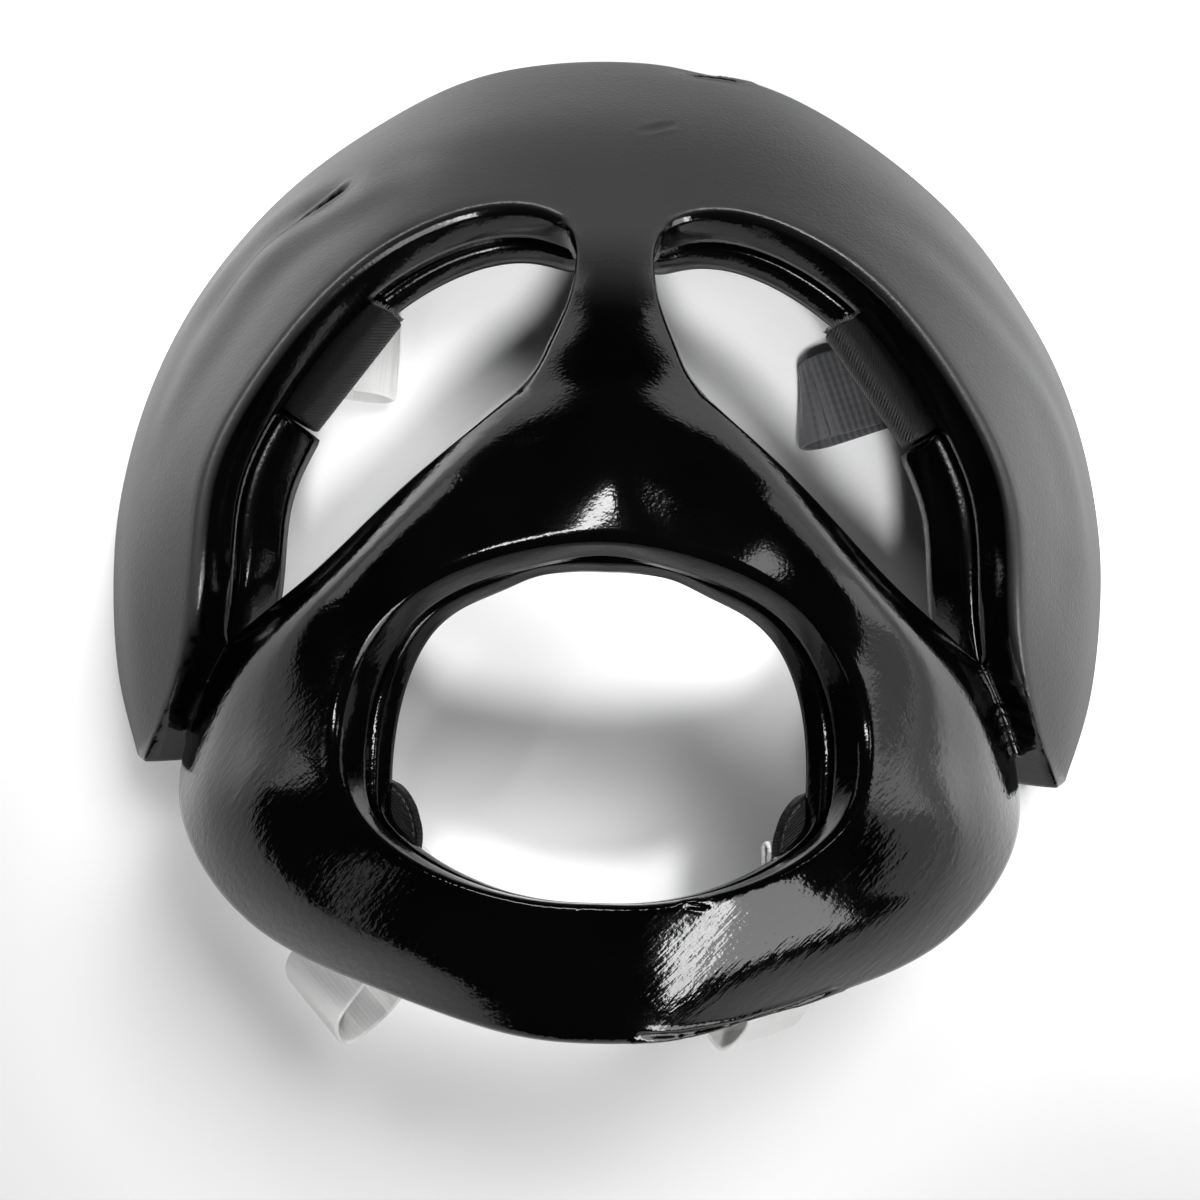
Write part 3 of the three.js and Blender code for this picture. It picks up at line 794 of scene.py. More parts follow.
@dataclass(frozen=True)
class Route:
    """Middle line of a strip with the directions across it and out of its face.

    Attributes:
        middles: places along the strip.
        across: unit directions over the width.
        faces: unit directions out of the face.
        closed: whether the strip runs back into its start.
    """

    middles: np.ndarray
    across: np.ndarray
    faces: np.ndarray
    closed: bool

    @classmethod
    def of_loop(cls, node: str) -> "Route":
        """Reads the route of a closed strap from its CAD solid.

        Each place of the solid has two short edges, as long as the strap is thick, a strap's width apart.

        Args:
            node: name of the CAD node.

        Returns:
            The route in order.
        """
        work = welded_copy(node)
        work.verts.index_update()
        wall, width, slack = 1.0 * MM, 19.0 * MM, 0.004 * MM
        short = [edge for edge in work.edges if abs(edge.calc_length() - wall) < slack]
        middles = [(edge.verts[0].co + edge.verts[1].co) / 2 for edge in short]
        owner: dict[int, int] = {}
        pairs: list[tuple[int, int]] = []
        for one, first in enumerate(middles):
            for two in range(one + 1, len(middles)):
                apart = (first - middles[two]).length
                if abs(apart - width) < slack and cls.parallel(short[one], short[two]):
                    for vert in (*short[one].verts, *short[two].verts):
                        owner[vert.index] = len(pairs)
                    pairs.append((one, two))
                    break
        beside: dict[int, set[int]] = {index: set() for index in range(len(pairs))}
        for edge in work.edges:
            one, two = (owner.get(vert.index) for vert in edge.verts)
            if one is not None and two is not None and one != two:
                beside[one].add(two)
                beside[two].add(one)
        order = [0]
        while len(order) < len(pairs):
            fresh = [index for index in sorted(beside[order[-1]]) if index not in order]
            if not fresh:
                break
            order.append(fresh[0])
        rows = [cls.row(short[pairs[index][0]], short[pairs[index][1]]) for index in order]
        work.free()
        across, faces = rows[0][1], rows[0][2]
        for index, (middle, side, face) in enumerate(rows):
            side = side if side.dot(across) > 0 else -side
            face = face if face.dot(faces) > 0 else -face
            rows[index] = (middle, side, face)
            across, faces = side, face
        return cls(*(np.array([row[part][:] for row in rows]) for part in range(3)), True)

    @staticmethod
    def parallel(one: bmesh.types.BMEdge, two: bmesh.types.BMEdge) -> bool:
        """Tells whether two edges run the same way."""
        first, last = ((edge.verts[1].co - edge.verts[0].co).normalized() for edge in (one, two))
        return abs(first.dot(last)) > 0.9995

    @staticmethod
    def row(one: bmesh.types.BMEdge, two: bmesh.types.BMEdge) -> tuple[Vector, Vector, Vector]:
        """Gives middle, direction across and direction out of the face at one place.

        Args:
            one: short edge on one side of the strap.
            two: short edge on the other side.

        Returns:
            The three vectors.
        """
        first, last = ((edge.verts[0].co + edge.verts[1].co) / 2 for edge in (one, two))
        face = (one.verts[1].co - one.verts[0].co).normalized()
        return (first + last) / 2, (last - first).normalized(), face

    def resampled(self, step: float) -> "Route":
        """Runs a smooth curve through the route.

        Args:
            step: distance between the new places.

        Returns:
            The finer route.
        """
        middles = self.through(self.middles, self.middles, step)
        across = self.through(self.across, self.middles, step)
        faces = self.through(self.faces, self.middles, step)
        across /= np.linalg.norm(across, axis=1)[:, None]
        faces -= np.sum(faces * across, axis=1)[:, None] * across
        faces /= np.linalg.norm(faces, axis=1)[:, None]
        return Route(middles, across, faces, self.closed)

    def through(self, values: np.ndarray, middles: np.ndarray, step: float) -> np.ndarray:
        """Interpolates rows along the route by cubic pieces.

        Args:
            values: rows to interpolate.
            middles: places that give the distances.
            step: distance between the new rows.

        Returns:
            The new rows.
        """
        count = len(values)
        last = count if self.closed else count - 1
        fine: list[np.ndarray] = []
        for index in range(last):
            one, two = index, (index + 1) % count
            before = (index - 1) % count if self.closed else max(index - 1, 0)
            after = (index + 2) % count if self.closed else min(index + 2, count - 1)
            rows = [values[place] for place in (before, one, two, after)]
            chords = [max(float(np.linalg.norm(middles[there] - middles[here])), 1e-6)
                      for here, there in ((before, one), (one, two), (two, after))]
            pieces = max(1, math.ceil(chords[1] / step))
            for part in np.arange(pieces) / pieces:
                fine.append(self.cubic(rows, chords, part))
        if not self.closed:
            fine.append(values[-1])
        return np.array(fine)

    @staticmethod
    def cubic(rows: list[np.ndarray], chords: list[float], part: float) -> np.ndarray:
        """Gives a point of a cubic piece between unevenly spaced rows.

        Args:
            rows: the row before the piece, its two ends and the row after it.
            chords: distances between those rows.
            part: place from 0 to 1.

        Returns:
            The point.
        """
        before, one, two, after = rows
        first, middle, last = chords
        slope = (two - one) / middle
        start = ((one - before) / first * middle + slope * first) / (first + middle) * middle
        end = (slope * last + (after - two) / last * middle) / (middle + last) * middle
        rise = part * part * (3.0 - 2.0 * part)
        return (one + rise * (two - one) + part * (1.0 - part) ** 2 * start
                - part * part * (1.0 - part) * end)

    def curvature(self) -> np.ndarray:
        """Gives how sharply the strip bends at each place, evened out over its neighbours.

        Returns:
            Turn for each metre of length.
        """
        span = 4
        padded = np.pad(self.middles, ((span, span), (0, 0)), "wrap" if self.closed else "edge")
        ahead, behind = padded[2 * span:] - self.middles, self.middles - padded[:-2 * span]
        reach = np.maximum(np.linalg.norm(ahead, axis=1) * np.linalg.norm(behind, axis=1), 1e-12)
        cosine = np.clip(np.sum(ahead * behind, axis=1) / reach, -1.0, 1.0)
        return np.arccos(cosine) / np.sqrt(reach)

    def lengths(self) -> np.ndarray:
        """Gives the distance along the strip at each place.

        Returns:
            One distance for each place, and for a closed strip the whole length last.
        """
        ends = np.vstack([self.middles, self.middles[:1]]) if self.closed else self.middles
        steps = np.linalg.norm(np.diff(ends, axis=0), axis=1)
        return np.concatenate([[0.0], np.cumsum(steps)])


@dataclass(frozen=True)
class Strip:
    """A woven strip of real thickness along a route.

    Attributes:
        width: width of the weave.
        wall: thickness of the weave.
        weave: pattern that is raised in the mesh.
        pitch: distance between the raised lines.
        relief: height of the raised lines.
        cell: distance between the columns of the mesh.
    """

    width: float
    wall: float
    weave: Weave
    pitch: float
    relief: float
    cell: float = 0.5 * MM

    def profile(self) -> tuple[np.ndarray, np.ndarray, np.ndarray]:
        """Lays out the rounded section.

        Returns:
            Places across, heights, and 1 or -1 for the face that a point is on, 0 for the selvedge.
        """
        half, thick = self.width / 2, self.wall / 2
        count = max(6, round((self.width - self.wall) / self.cell))
        row = np.linspace(-(half - thick), half - thick, count)
        angles = np.radians([60.0, 0.0, -60.0])
        turn_x, turn_z = thick * np.cos(angles), thick * np.sin(angles)
        across = np.concatenate([row, half - thick + turn_x, row[::-1], -(half - thick) - turn_x])
        height = np.concatenate([np.full(count, thick), turn_z, np.full(count, -thick), -turn_z])
        face = np.concatenate([np.ones(count), np.zeros(3), -np.ones(count), np.zeros(3)])
        return across, height, face

    def raised(self, along: np.ndarray, across: np.ndarray) -> np.ndarray:
        """Gives the raised height of the weave.

        Args:
            along: distance along the strip, as a column.
            across: distance across it, as a row.

        Returns:
            Heights for each place and column.
        """
        turn = 2 * np.pi / self.pitch
        if self.weave is Weave.TWILL:
            return self.relief * np.abs(np.sin(0.5 * turn * (along + across)))
        if self.weave is Weave.RIBS:
            bars = 0.5 + 0.5 * np.sin(turn * along)
            return self.relief * bars * (0.8 + 0.2 * np.sin(1.7 * turn * across))
        bent = turn * along + 2.1 * np.sin(0.61 * turn * across)
        return self.relief * np.sin(bent) * np.sin(1.13 * turn * across + 1.9 * turn * along)

    def mesh(self, route: Route) -> bpy.types.Mesh:
        """Builds the strip along a route.

        Args:
            route: finely sampled route.

        Returns:
            A closed mesh with the weave coordinate stored as an attribute.
        """
        across, height, face = self.profile()
        lengths = route.lengths()
        along = lengths[:len(route.middles), None]
        rise = height[None, :] + self.raised(along, across[None, :]) * face[None, :]
        points = (route.middles[:, None, :] + route.across[:, None, :] * across[None, :, None]
                  + route.faces[:, None, :] * rise[:, :, None])
        rows, columns = rise.shape
        index = np.arange(rows * columns).reshape(rows, columns)
        faces: list[list[int]] = []
        for row in range(rows if route.closed else rows - 1):
            here, there = index[row], index[(row + 1) % rows]
            for column in range(columns):
                side = (column + 1) % columns
                faces.append([here[column], here[side], there[side], there[column]])
        if not route.closed:
            faces.append(list(index[0][::-1]))
            faces.append(list(index[-1]))
        mesh = bpy.data.meshes.new("strip")
        corners = [[int(corner) for corner in row] for row in faces]
        mesh.from_pydata(points.reshape(-1, 3).tolist(), [], corners)
        store = mesh.attributes.new("weave", "FLOAT_VECTOR", "POINT")
        # The third part of the weave coordinate is the bend, which the cloth turns into a painted highlight.
        bend = np.clip(route.curvature() * BEND_REACH, 0.0, 1.0)[:, None]
        spread = np.stack([along + 0 * rise, across[None, :] + 0 * rise, bend + 0 * rise], axis=2)
        store.data.foreach_set("vector", spread.reshape(-1).astype(np.float32))
        work = bmesh.new()
        work.from_mesh(mesh)
        bmesh.ops.recalc_face_normals(work, faces=work.faces)
        work.to_mesh(mesh)
        work.free()
        mesh.shade_smooth()
        return mesh


def path_object(name: str, places: np.ndarray) -> bpy.types.Object:
    """Makes a line of edges through places.

    Args:
        name: name of the object.
        places: rows of places in order.

    Returns:
        The line, which a node group turns into a finished piece.
    """
    mesh = bpy.data.meshes.new(name)
    steps = [(index, index + 1) for index in range(len(places) - 1)]
    mesh.from_pydata([tuple(place) for place in places], steps, [])
    return linked(name, mesh)


@dataclass(frozen=True)
class ThreadRow:
    """Short threads along a line, laid out by geometry nodes.

    Attributes:
        pitch: distance between two threads.
        length: length of a thread.
        radius: radius of a thread.
        stray: how far a thread may turn out of line, in radians.
        upright: whether the threads stand out along a direction and don't follow the line.
    """

    pitch: float
    length: float
    radius: float
    stray: float
    upright: bool

    def group(self) -> bpy.types.NodeTree:
        """Builds the node group with its named inputs.

        Returns:
            The geometry node group.
        """
        tree = bpy.data.node_groups.new("thread_row", "GeometryNodeTree")
        face = tree.interface
        face.new_socket("Geometry", in_out="INPUT", socket_type="NodeSocketGeometry")
        for name in ("Pitch", "Length", "Radius", "Stray"):
            face.new_socket(name, in_out="INPUT", socket_type="NodeSocketFloat")
        face.new_socket("Direction", in_out="INPUT", socket_type="NodeSocketVector")
        face.new_socket("Seed", in_out="INPUT", socket_type="NodeSocketInt")
        face.new_socket("Material", in_out="INPUT", socket_type="NodeSocketMaterial")
        face.new_socket("Geometry", in_out="OUTPUT", socket_type="NodeSocketGeometry")
        build = NodeBuilder(tree)
        given = build.add("NodeGroupInput").outputs
        line = build.add("GeometryNodeMeshToCurve", Mesh=given["Geometry"]).outputs[0]
        even = build.add("GeometryNodeResampleCurve", {"mode": "LENGTH"}, Curve=line, Length=given["Pitch"])
        heading = given["Direction"] if self.upright else build.add("GeometryNodeInputTangent").outputs[0]
        aimed = build.add("FunctionNodeAlignRotationToVector", {"axis": "Z"}, Vector=heading)
        stray = given["Stray"]
        most = build.add("ShaderNodeCombineXYZ", X=stray, Y=stray, Z=stray).outputs[0]
        least = build.add("ShaderNodeVectorMath", {"operation": "SCALE"}, Scale=-1.0)
        build.feed(least, 0, most)
        turn = build.add("FunctionNodeRandomValue", {"data_type": "FLOAT_VECTOR"}, Seed=given["Seed"])
        build.feed(turn, 0, least.outputs[0])
        build.feed(turn, 1, most)
        spin = build.add("FunctionNodeEulerToRotation", Euler=turn.outputs[0])
        both = build.add("FunctionNodeRotateRotation", Rotation=aimed.outputs[0], Rotate_By=spin.outputs[0])
        size = build.add("FunctionNodeRandomValue", {"data_type": "FLOAT"}, Seed=given["Seed"])
        build.feed(size, 2, 0.8)
        build.feed(size, 3, 1.15)
        ball = build.add("GeometryNodeMeshUVSphere", Segments=8, Rings=6, Radius=1.0)
        half = build.math("MULTIPLY", given["Length"], 0.5)
        shape = build.add("ShaderNodeCombineXYZ", X=given["Radius"], Y=given["Radius"], Z=half)
        thread = build.add("GeometryNodeTransform", Geometry=ball.outputs[0], Scale=shape.outputs[0])
        laid = build.add("GeometryNodeInstanceOnPoints", Points=even.outputs[0], Instance=thread.outputs[0],
                         Rotation=both.outputs[0], Scale=size.outputs[1])
        real = build.add("GeometryNodeRealizeInstances", Geometry=laid.outputs[0])
        soft = build.add("GeometryNodeSetShadeSmooth", Geometry=real.outputs[0])
        dressed = build.add("GeometryNodeSetMaterial", Geometry=soft.outputs[0], Material=given["Material"])
        output = build.add("NodeGroupOutput")
        build.feed(output, 0, dressed.outputs[0])
        return tree

    def build(self, name: str, places: np.ndarray, slot: str, material: bpy.types.Material,
              direction: np.ndarray = np.array([0.0, 0.0, 1.0])) -> bpy.types.Object:
        """Lays threads along a line and keeps the plain mesh.

        Args:
            name: name of the piece.
            places: rows of places that the line follows.
            slot: name of a material slot; not used.
            material: finish of the threads.
            direction: direction of threads that stand out.

        Returns:
            The finished piece.
        """
        line = path_object(f"{name}_line", places)
        tree = self.group()
        nodes = line.modifiers.new("threads", "NODES")
        nodes.node_group = tree
        values = {"Pitch": self.pitch, "Length": self.length, "Radius": self.radius, "Stray": self.stray,
                  "Direction": [float(part) for part in direction], "Seed": SEED, "Material": material}
        for item in tree.interface.items_tree:
            if item.in_out == "INPUT" and item.name in values:
                nodes[item.identifier] = values[item.name]
        mesh = evaluated_mesh(line)
        bpy.data.objects.remove(line)
        piece = linked(name, mesh)
        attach(piece, BODY)
        return piece


@dataclass
class StrapLoop:
    """A closed strap loop, built along the route of its CAD solid.

    Attributes:
        node: CAD node that the strap replaces.
        slot: name of a material slot; not used.
        material: cloth of the strap.
        strip: weave of the strap.
        rests_on: pieces that carry the strap; not used.
    """

    node: str
    slot: str
    material: bpy.types.Material
    strip: Strip
    rests_on: tuple[str, ...]

    def build(self) -> bpy.types.Object:
        """Returns:
            The finished piece.
        """
        route = Route.of_loop(self.node).resampled(ROUTE_STEP)
        mesh = self.strip.mesh(route)
        mesh.materials.append(self.material)
        piece = linked(f"{self.node}_loop", mesh)
        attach(piece, BODY)
        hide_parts(self.node)
        float(route.lengths()[-1])
        return piece


@dataclass
class FoldedTab:
    """A webbing tab folded round into a half tube, with its two leaves behind it.

    Attributes:
        node: CAD node that the tab replaces.
        slot: name of a material slot.
        material: webbing of the tab.
        strip: weave of the tab.
        tuck: length by which the tab reaches down over the pad below it.
    """

    node: str
    slot: str
    material: bpy.types.Material
    strip: Strip
    tuck: float = 0.7 * MM

    def route(self) -> Route:
        """Lays the webbing from the end of one leaf round the fold to the end of the other.

        Returns:
            The open route.
        """
        local = LocalFrame.of_node(self.node)
        towards = 1.0 if abs(local.high[1]) > abs(local.low[1]) else -1.0
        end = max(abs(local.high[1]), abs(local.low[1]))
        rise = (local.high[2] - local.low[2]) / 2 - self.strip.wall / 2
        fold = (local.high[1] - local.low[1]) - self.strip.wall / 2 - rise
        outline = [(end, rise), (end - fold * 0.5, rise)]
        outline += [(end - fold + rise * math.cos(turn), rise * math.sin(turn))
                    for turn in np.linspace(math.pi / 2, 3 * math.pi / 2, 13)]
        outline += [(end - fold * 0.5, -rise), (end, -rise)]
        middle_height = (local.high[2] + local.low[2]) / 2
        middle_along = (local.high[0] + local.low[0]) / 2 - self.tuck * math.copysign(1.0, local.axes[0][1])
        places = np.array([(middle_along, towards * over, middle_height + out) for over, out in outline])
        middles = local.place(places)
        across = np.repeat(local.axes[:1], len(middles), axis=0)
        tangents = np.gradient(middles, axis=0)
        faces = np.cross(tangents, across)
        faces /= np.linalg.norm(faces, axis=1)[:, None]
        if faces[0] @ local.axes[2] < 0:
            faces = -faces
        return Route(middles, across, faces, False)

    def build(self) -> bpy.types.Object:
        """Returns:
            The finished piece.
        """
        route = self.route().resampled(ROUTE_STEP)
        mesh = self.strip.mesh(route)
        mesh.materials.append(self.material)
        piece = linked(f"{self.node}_web", mesh)
        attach(piece, BODY)
        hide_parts(self.node)
        float(route.lengths()[-1])
        return piece

    def frayed(self, thread: bpy.types.Material) -> bpy.types.Object:
        """Lets cut threads stand out of the webbing's upper end.

        Args:
            thread: finish of the threads.

        Returns:
            The fringe.
        """
        route = self.route().resampled(ROUTE_STEP)
        upper = 1.0 if route.across[0][1] > 0 else -1.0
        ends = route.middles + upper * (self.strip.width / 2) * route.across
        row = ThreadRow(pitch=0.45 * MM, length=2.2 * MM, radius=0.13 * MM, stray=0.5, upright=True)
        return row.build(f"{self.node}_fringe", ends, self.slot, thread, upper * route.across[0])


@dataclass
class CheekPatch(FoamLayer):
    """A flat webbing patch with a round end and a row of stitches along its border.

    Attributes:
        stitches: layout of the stitches.
        inset: distance of the stitches from the border.
    """

    stitches: ThreadRow = ThreadRow(pitch=1.7 * MM, length=1.25 * MM, radius=0.24 * MM, stray=0.06,
                                    upright=False)
    inset: float = 1.1 * MM

    def paint(self, mesh: bpy.types.Mesh) -> None:
        """Stores the weave coordinate along the patch's own axes.

        Args:
            mesh: finished patch.
        """
        local = LocalFrame.of_node(self.node)
        spread = (points_of(mesh) - local.middle) @ local.axes.T
        store = mesh.attributes.new("weave", "FLOAT_VECTOR", "POINT")
        store.data.foreach_set("vector", spread.reshape(-1).astype(np.float32))

    def declare(self, piece: bpy.types.Object) -> None:
        """Args:
            piece: finished patch; not used.
        """
        local = LocalFrame.of_node(self.node)

    def border(self, face: float) -> np.ndarray:
        """Lays the line of the stitches on one face of the patch.

        Args:
            face: 1 for the upper face, -1 for the lower one.

        Returns:
            Rows of places along the line.
        """
        local = LocalFrame.of_node(self.node)
        towards = 1.0 if abs(local.high[0]) > abs(local.low[0]) else -1.0
        span = local.high[0] - local.low[0]
        half = (local.high[1] - local.low[1]) / 2
        end = max(abs(local.high[0]), abs(local.low[0]))
        hub = end - span + half
        reach = half - self.inset
        angles = np.linspace(math.pi / 2, 3 * math.pi / 2, 25)
        row = [(end - self.inset, reach), *((hub + reach * math.cos(a), reach * math.sin(a)) for a in angles),
               (end - self.inset, -reach)]
        level = (local.high[2] + local.low[2]) / 2 + face * (local.high[2] - local.low[2]) / 2
        middle = (local.high[1] + local.low[1]) / 2
        return local.place(np.array([(towards * x, middle + y, level) for x, y in row]))

    def stitched(self, thread: bpy.types.Material) -> list[bpy.types.Object]:
        """Sews the border on both faces.

        Args:
            thread: finish of the thread.

        Returns:
            The two rows of stitches.
        """
        return [self.stitches.build(f"{self.node}_stitches_{name}", self.border(face), self.slot, thread)
                for name, face in (("upper", 1.0), ("lower", -1.0))]


@dataclass(frozen=True)
class Lamp:
    """A studio lamp that hangs in one direction from the object.

    Attributes:
        name: name of the lamp.
        azimuth: direction of the lamp from +X towards +Y, in degrees.
        elevation: height of the lamp, in degrees.
    """

    name: str
    azimuth: float
    elevation: float

    def hang(self, data: bpy.types.Light, aim: Vector, distance: float, use: LampUse,
             lean: float = 0.0) -> bpy.types.Object:
        """Hangs the lamp so that it faces a point.

        Args:
            data: the light itself.
            aim: point that the lamp faces.
            distance: distance of the lamp from that point.
            use: what the lamp lights.
            lean: turn of the lamp about its own axis, in degrees.

        Returns:
            The lamp.
        """
        turn, rise = math.radians(self.azimuth), math.radians(self.elevation)
        level = math.cos(rise)
        direction = Vector((level * math.cos(turn), level * math.sin(turn), math.sin(rise)))
        lamp = bpy.data.objects.new(self.name, data)
        lamp.location = aim + direction * distance
        facing = direction.to_track_quat("Z", "Y") @ Quaternion((0.0, 0.0, 1.0), math.radians(lean))
        lamp.rotation_euler = facing.to_euler()
        lamp.visible_diffuse, lamp.visible_glossy = use.value
        lamp.visible_camera = False
        bpy.context.scene.collection.objects.link(lamp)
        return lamp


@dataclass(frozen=True)
class Softbox(Lamp):
    """A soft lamp with a rectangular face.

    Attributes:
        size: width and height.
        radiance: brightness of its face, where the table is about 1.
        use: what the lamp lights.
        distance: distance of the lamp.
        lean: turn of the lamp about its own axis, in degrees.
    """

    size: tuple[float, float]
    radiance: float
    use: LampUse
    distance: float = 1.2
    lean: float = 0.0

    def build(self, aim: Vector) -> bpy.types.Object:
        """Builds and hangs the lamp.

        Args:
            aim: point that the lamp faces.

        Returns:
            The lamp.
        """
        data = bpy.data.lights.new(self.name, "AREA")
        data.shape = "RECTANGLE"
        data.size, data.size_y = self.size
        data.energy = self.radiance * math.pi * self.size[0] * self.size[1]
        return self.hang(data, aim, self.distance, self.use, self.lean)


@dataclass(frozen=True)
class Snoot(Lamp):
    """A lamp with a narrow cone that lights one part of the table or one strap.

    Attributes:
        reach: radius of the lit circle.
        energy: power of the lamp.
        place: middle of the lit circle.
        distance: distance of the lamp.
        softness: radius of the lamp itself.
        blend: share of the cone over which its light fades out.
    """

    reach: float
    energy: float
    place: tuple[float, float, float]
    distance: float = 1.2
    softness: float = 0.1
    blend: float = 0.6

    def build(self, aim: Vector) -> bpy.types.Object:
        """Builds and hangs the lamp.

        Args:
            aim: point from which the lit circle is measured.

        Returns:
            The lamp.
        """
        data = bpy.data.lights.new(self.name, "SPOT")
        data.energy = self.energy
        data.spot_size = 2.0 * math.atan(self.reach / self.distance)
        data.spot_blend = self.blend
        data.shadow_soft_size = self.softness
        return self.hang(data, aim + Vector(self.place), self.distance, LampUse.MATT)


@dataclass
class Studio:
    """White table, dark room and soft lamps, seen from above.

    Attributes:
        target: point that the camera looks at, in mm.
        distance: distance of the camera, in mm.
        azimuth: turn of the camera from the front, in degrees.
        elevation: height of the camera, in degrees.
        roll: tilt of the picture, in degrees.
        lens: focal length for a 36 mm sensor, in mm.
        aim: point that the lamps face.
        reach: half width of the table.
        fill: light of the room on matt surfaces.
        backdrop: tone of the room behind the table.
        lamps: the lamps.
    """

    target: tuple[float, float, float] = (-1.0, -22.04, 50.0)
    distance: float = 415.0
    azimuth: float = 2.2
    elevation: float = 80.0
    roll: float = -0.5
    lens: float = 63.0
    aim: tuple[float, float, float] = (0.0, 0.0, 0.04)
    reach: float = 3.0
    fill: float = 0.06
    backdrop: float = 0.95
    lamps: tuple[Softbox | Snoot, ...] = field(default_factory=tuple)

    def build(self) -> None:
        """Builds camera, floor, lamps and surroundings."""
        self.camera()
        self.floor()
        self.room()
        for lamp in self.lamps:
            lamp.build(Vector(self.aim))
        bpy.context.scene.view_settings.view_transform = "Standard"

    def camera(self) -> None:
        """Sets the camera at the photo's place."""
        turn, rise, roll = (math.radians(angle) for angle in (self.azimuth, self.elevation, self.roll))
        back = Vector((math.sin(turn) * math.cos(rise), -math.cos(turn) * math.cos(rise), math.sin(rise)))
        right = Vector((math.cos(turn), math.sin(turn), 0.0))
        above = back.cross(right)
        level = right * math.cos(roll) + above * math.sin(roll)
        upright = -right * math.sin(roll) + above * math.cos(roll)
        data = bpy.data.cameras.new("camera")
        data.lens = self.lens
        data.sensor_width = 36.0
        data.clip_start = 0.01
        camera = bpy.data.objects.new("camera", data)
        place = (Vector(self.target) + back * self.distance) * MM
        camera.matrix_world = Matrix.Translation(place) @ Matrix((level, upright, back)).transposed().to_4x4()
        bpy.context.scene.collection.objects.link(camera)
        bpy.context.scene.camera = camera

    def floor(self) -> None:
        """Lays the white table under the object."""
        work = bmesh.new()
        bmesh.ops.create_grid(work, x_segments=8, y_segments=8, size=self.reach)
        mesh = bpy.data.meshes.new("table")
        work.to_mesh(mesh)
        work.free()
        mesh.materials.append(FloorFinish("table_white", 0.86).material())
        linked("table", mesh)

    def room(self) -> None:
        """Makes the room dark, with a pale fill for matt surfaces and a pale backdrop."""
        world = bpy.data.worlds.new("room")
        bpy.context.scene.world = world
        world.use_nodes = True
        build = NodeBuilder(world.node_tree)
        path = build.add("ShaderNodeLightPath")
        fill = build.math("MULTIPLY", path.outputs["Is Diffuse Ray"], self.fill)
        seen = build.math("MULTIPLY", path.outputs["Is Camera Ray"], self.backdrop)
        tone = build.math("MAXIMUM", fill, seen)
        colour = build.add("ShaderNodeCombineColor", Red=tone, Green=tone, Blue=tone)
        shade = build.add("ShaderNodeBackground", Color=colour.outputs[0], Strength=1.0)
        output = build.add("ShaderNodeOutputWorld")
        build.feed(output, "Surface", shade.outputs[0])


@dataclass
class FaceGuard:
    """The whole guard: foam layers, webbing tabs and strap loops.

    Attributes:
        strap_width: width of the straps.
        strap_wall: thickness of the straps.
        tab_width: width of the temple tabs.
        tab_wall: thickness of the temple tabs.
        pieces: finished pieces in order.
    """

    strap_width: float = 19 * MM
    strap_wall: float = 0.9 * MM
    tab_width: float = 28.4 * MM
    tab_wall: float = 1.4 * MM
    pieces: list[bpy.types.Object] = field(default_factory=list)

    def keep(self, piece: bpy.types.Object) -> None:
        """Reports a finished piece and keeps it."""
        log.info("%s: %d faces", piece.name, len(piece.data.polygons))
        self.pieces.append(piece)

    def build(self) -> None:
        """Builds every piece in order, from the shell to the straps."""
        self.foam()
        self.tabs()
        self.straps()

    def foam(self) -> None:
        """Builds the shell and the inner foam layers."""
        outer, inner = SHELL_SKIN.material(), LINER_SKIN.material()
        self.keep(FoamLayer("shell", "vinyl_shell", outer, SHELL_MARKS).build())
        for node in ("brow_liner", "muzzle_liner", "temple_pad_right", "temple_pad_left"):
            self.keep(FoamLayer(node, "vinyl_liner", inner, LINER_MARKS.get(node, ())).build())

    def tabs(self) -> None:
        """Builds the webbing tabs with their threads, one side after the other."""
        webbing, thread = TWILL_CLOTH.material(), SEWING_THREAD.material()
        fold = Strip(self.tab_width, self.tab_wall, Weave.TWILL, pitch=1.8 * MM, relief=0.06 * MM)
        for side in Side:
            name = side.name.lower()
            tab = FoldedTab(f"temple_tab_{name}", "webbing", webbing, fold)
            self.keep(tab.build())
            self.keep(tab.frayed(thread))
            patch = CheekPatch(f"cheek_tab_{name}", "webbing", webbing,
                               levels=3, crease=0.55, wave=0.0, fill=1.0)
            self.keep(patch.build())
            for row in patch.stitched(thread):
                self.keep(row)

    def straps(self) -> None:
        """Builds the four strap loops."""
        pale, dark = NAP_CLOTH.material(), RIB_CLOTH.material()
        nap = Strip(self.strap_width, self.strap_wall, Weave.NAP, pitch=1.6 * MM, relief=0.025 * MM)
        ribbed = Strip(self.strap_width, self.strap_wall, Weave.RIBS, pitch=1.5 * MM, relief=0.04 * MM)
        self.keep(StrapLoop("temple_strap_right", "strap_grey", dark, ribbed, ("temple_tab_right",)).build())
        self.keep(StrapLoop("temple_strap_left", "strap_white", pale, nap, ("temple_tab_left",)).build())
        for side in Side:
            name = side.name.lower()
            loop = StrapLoop(f"cheek_strap_{name}", "strap_white", pale, nap, (f"cheek_tab_{name}",))
            self.keep(loop.build())


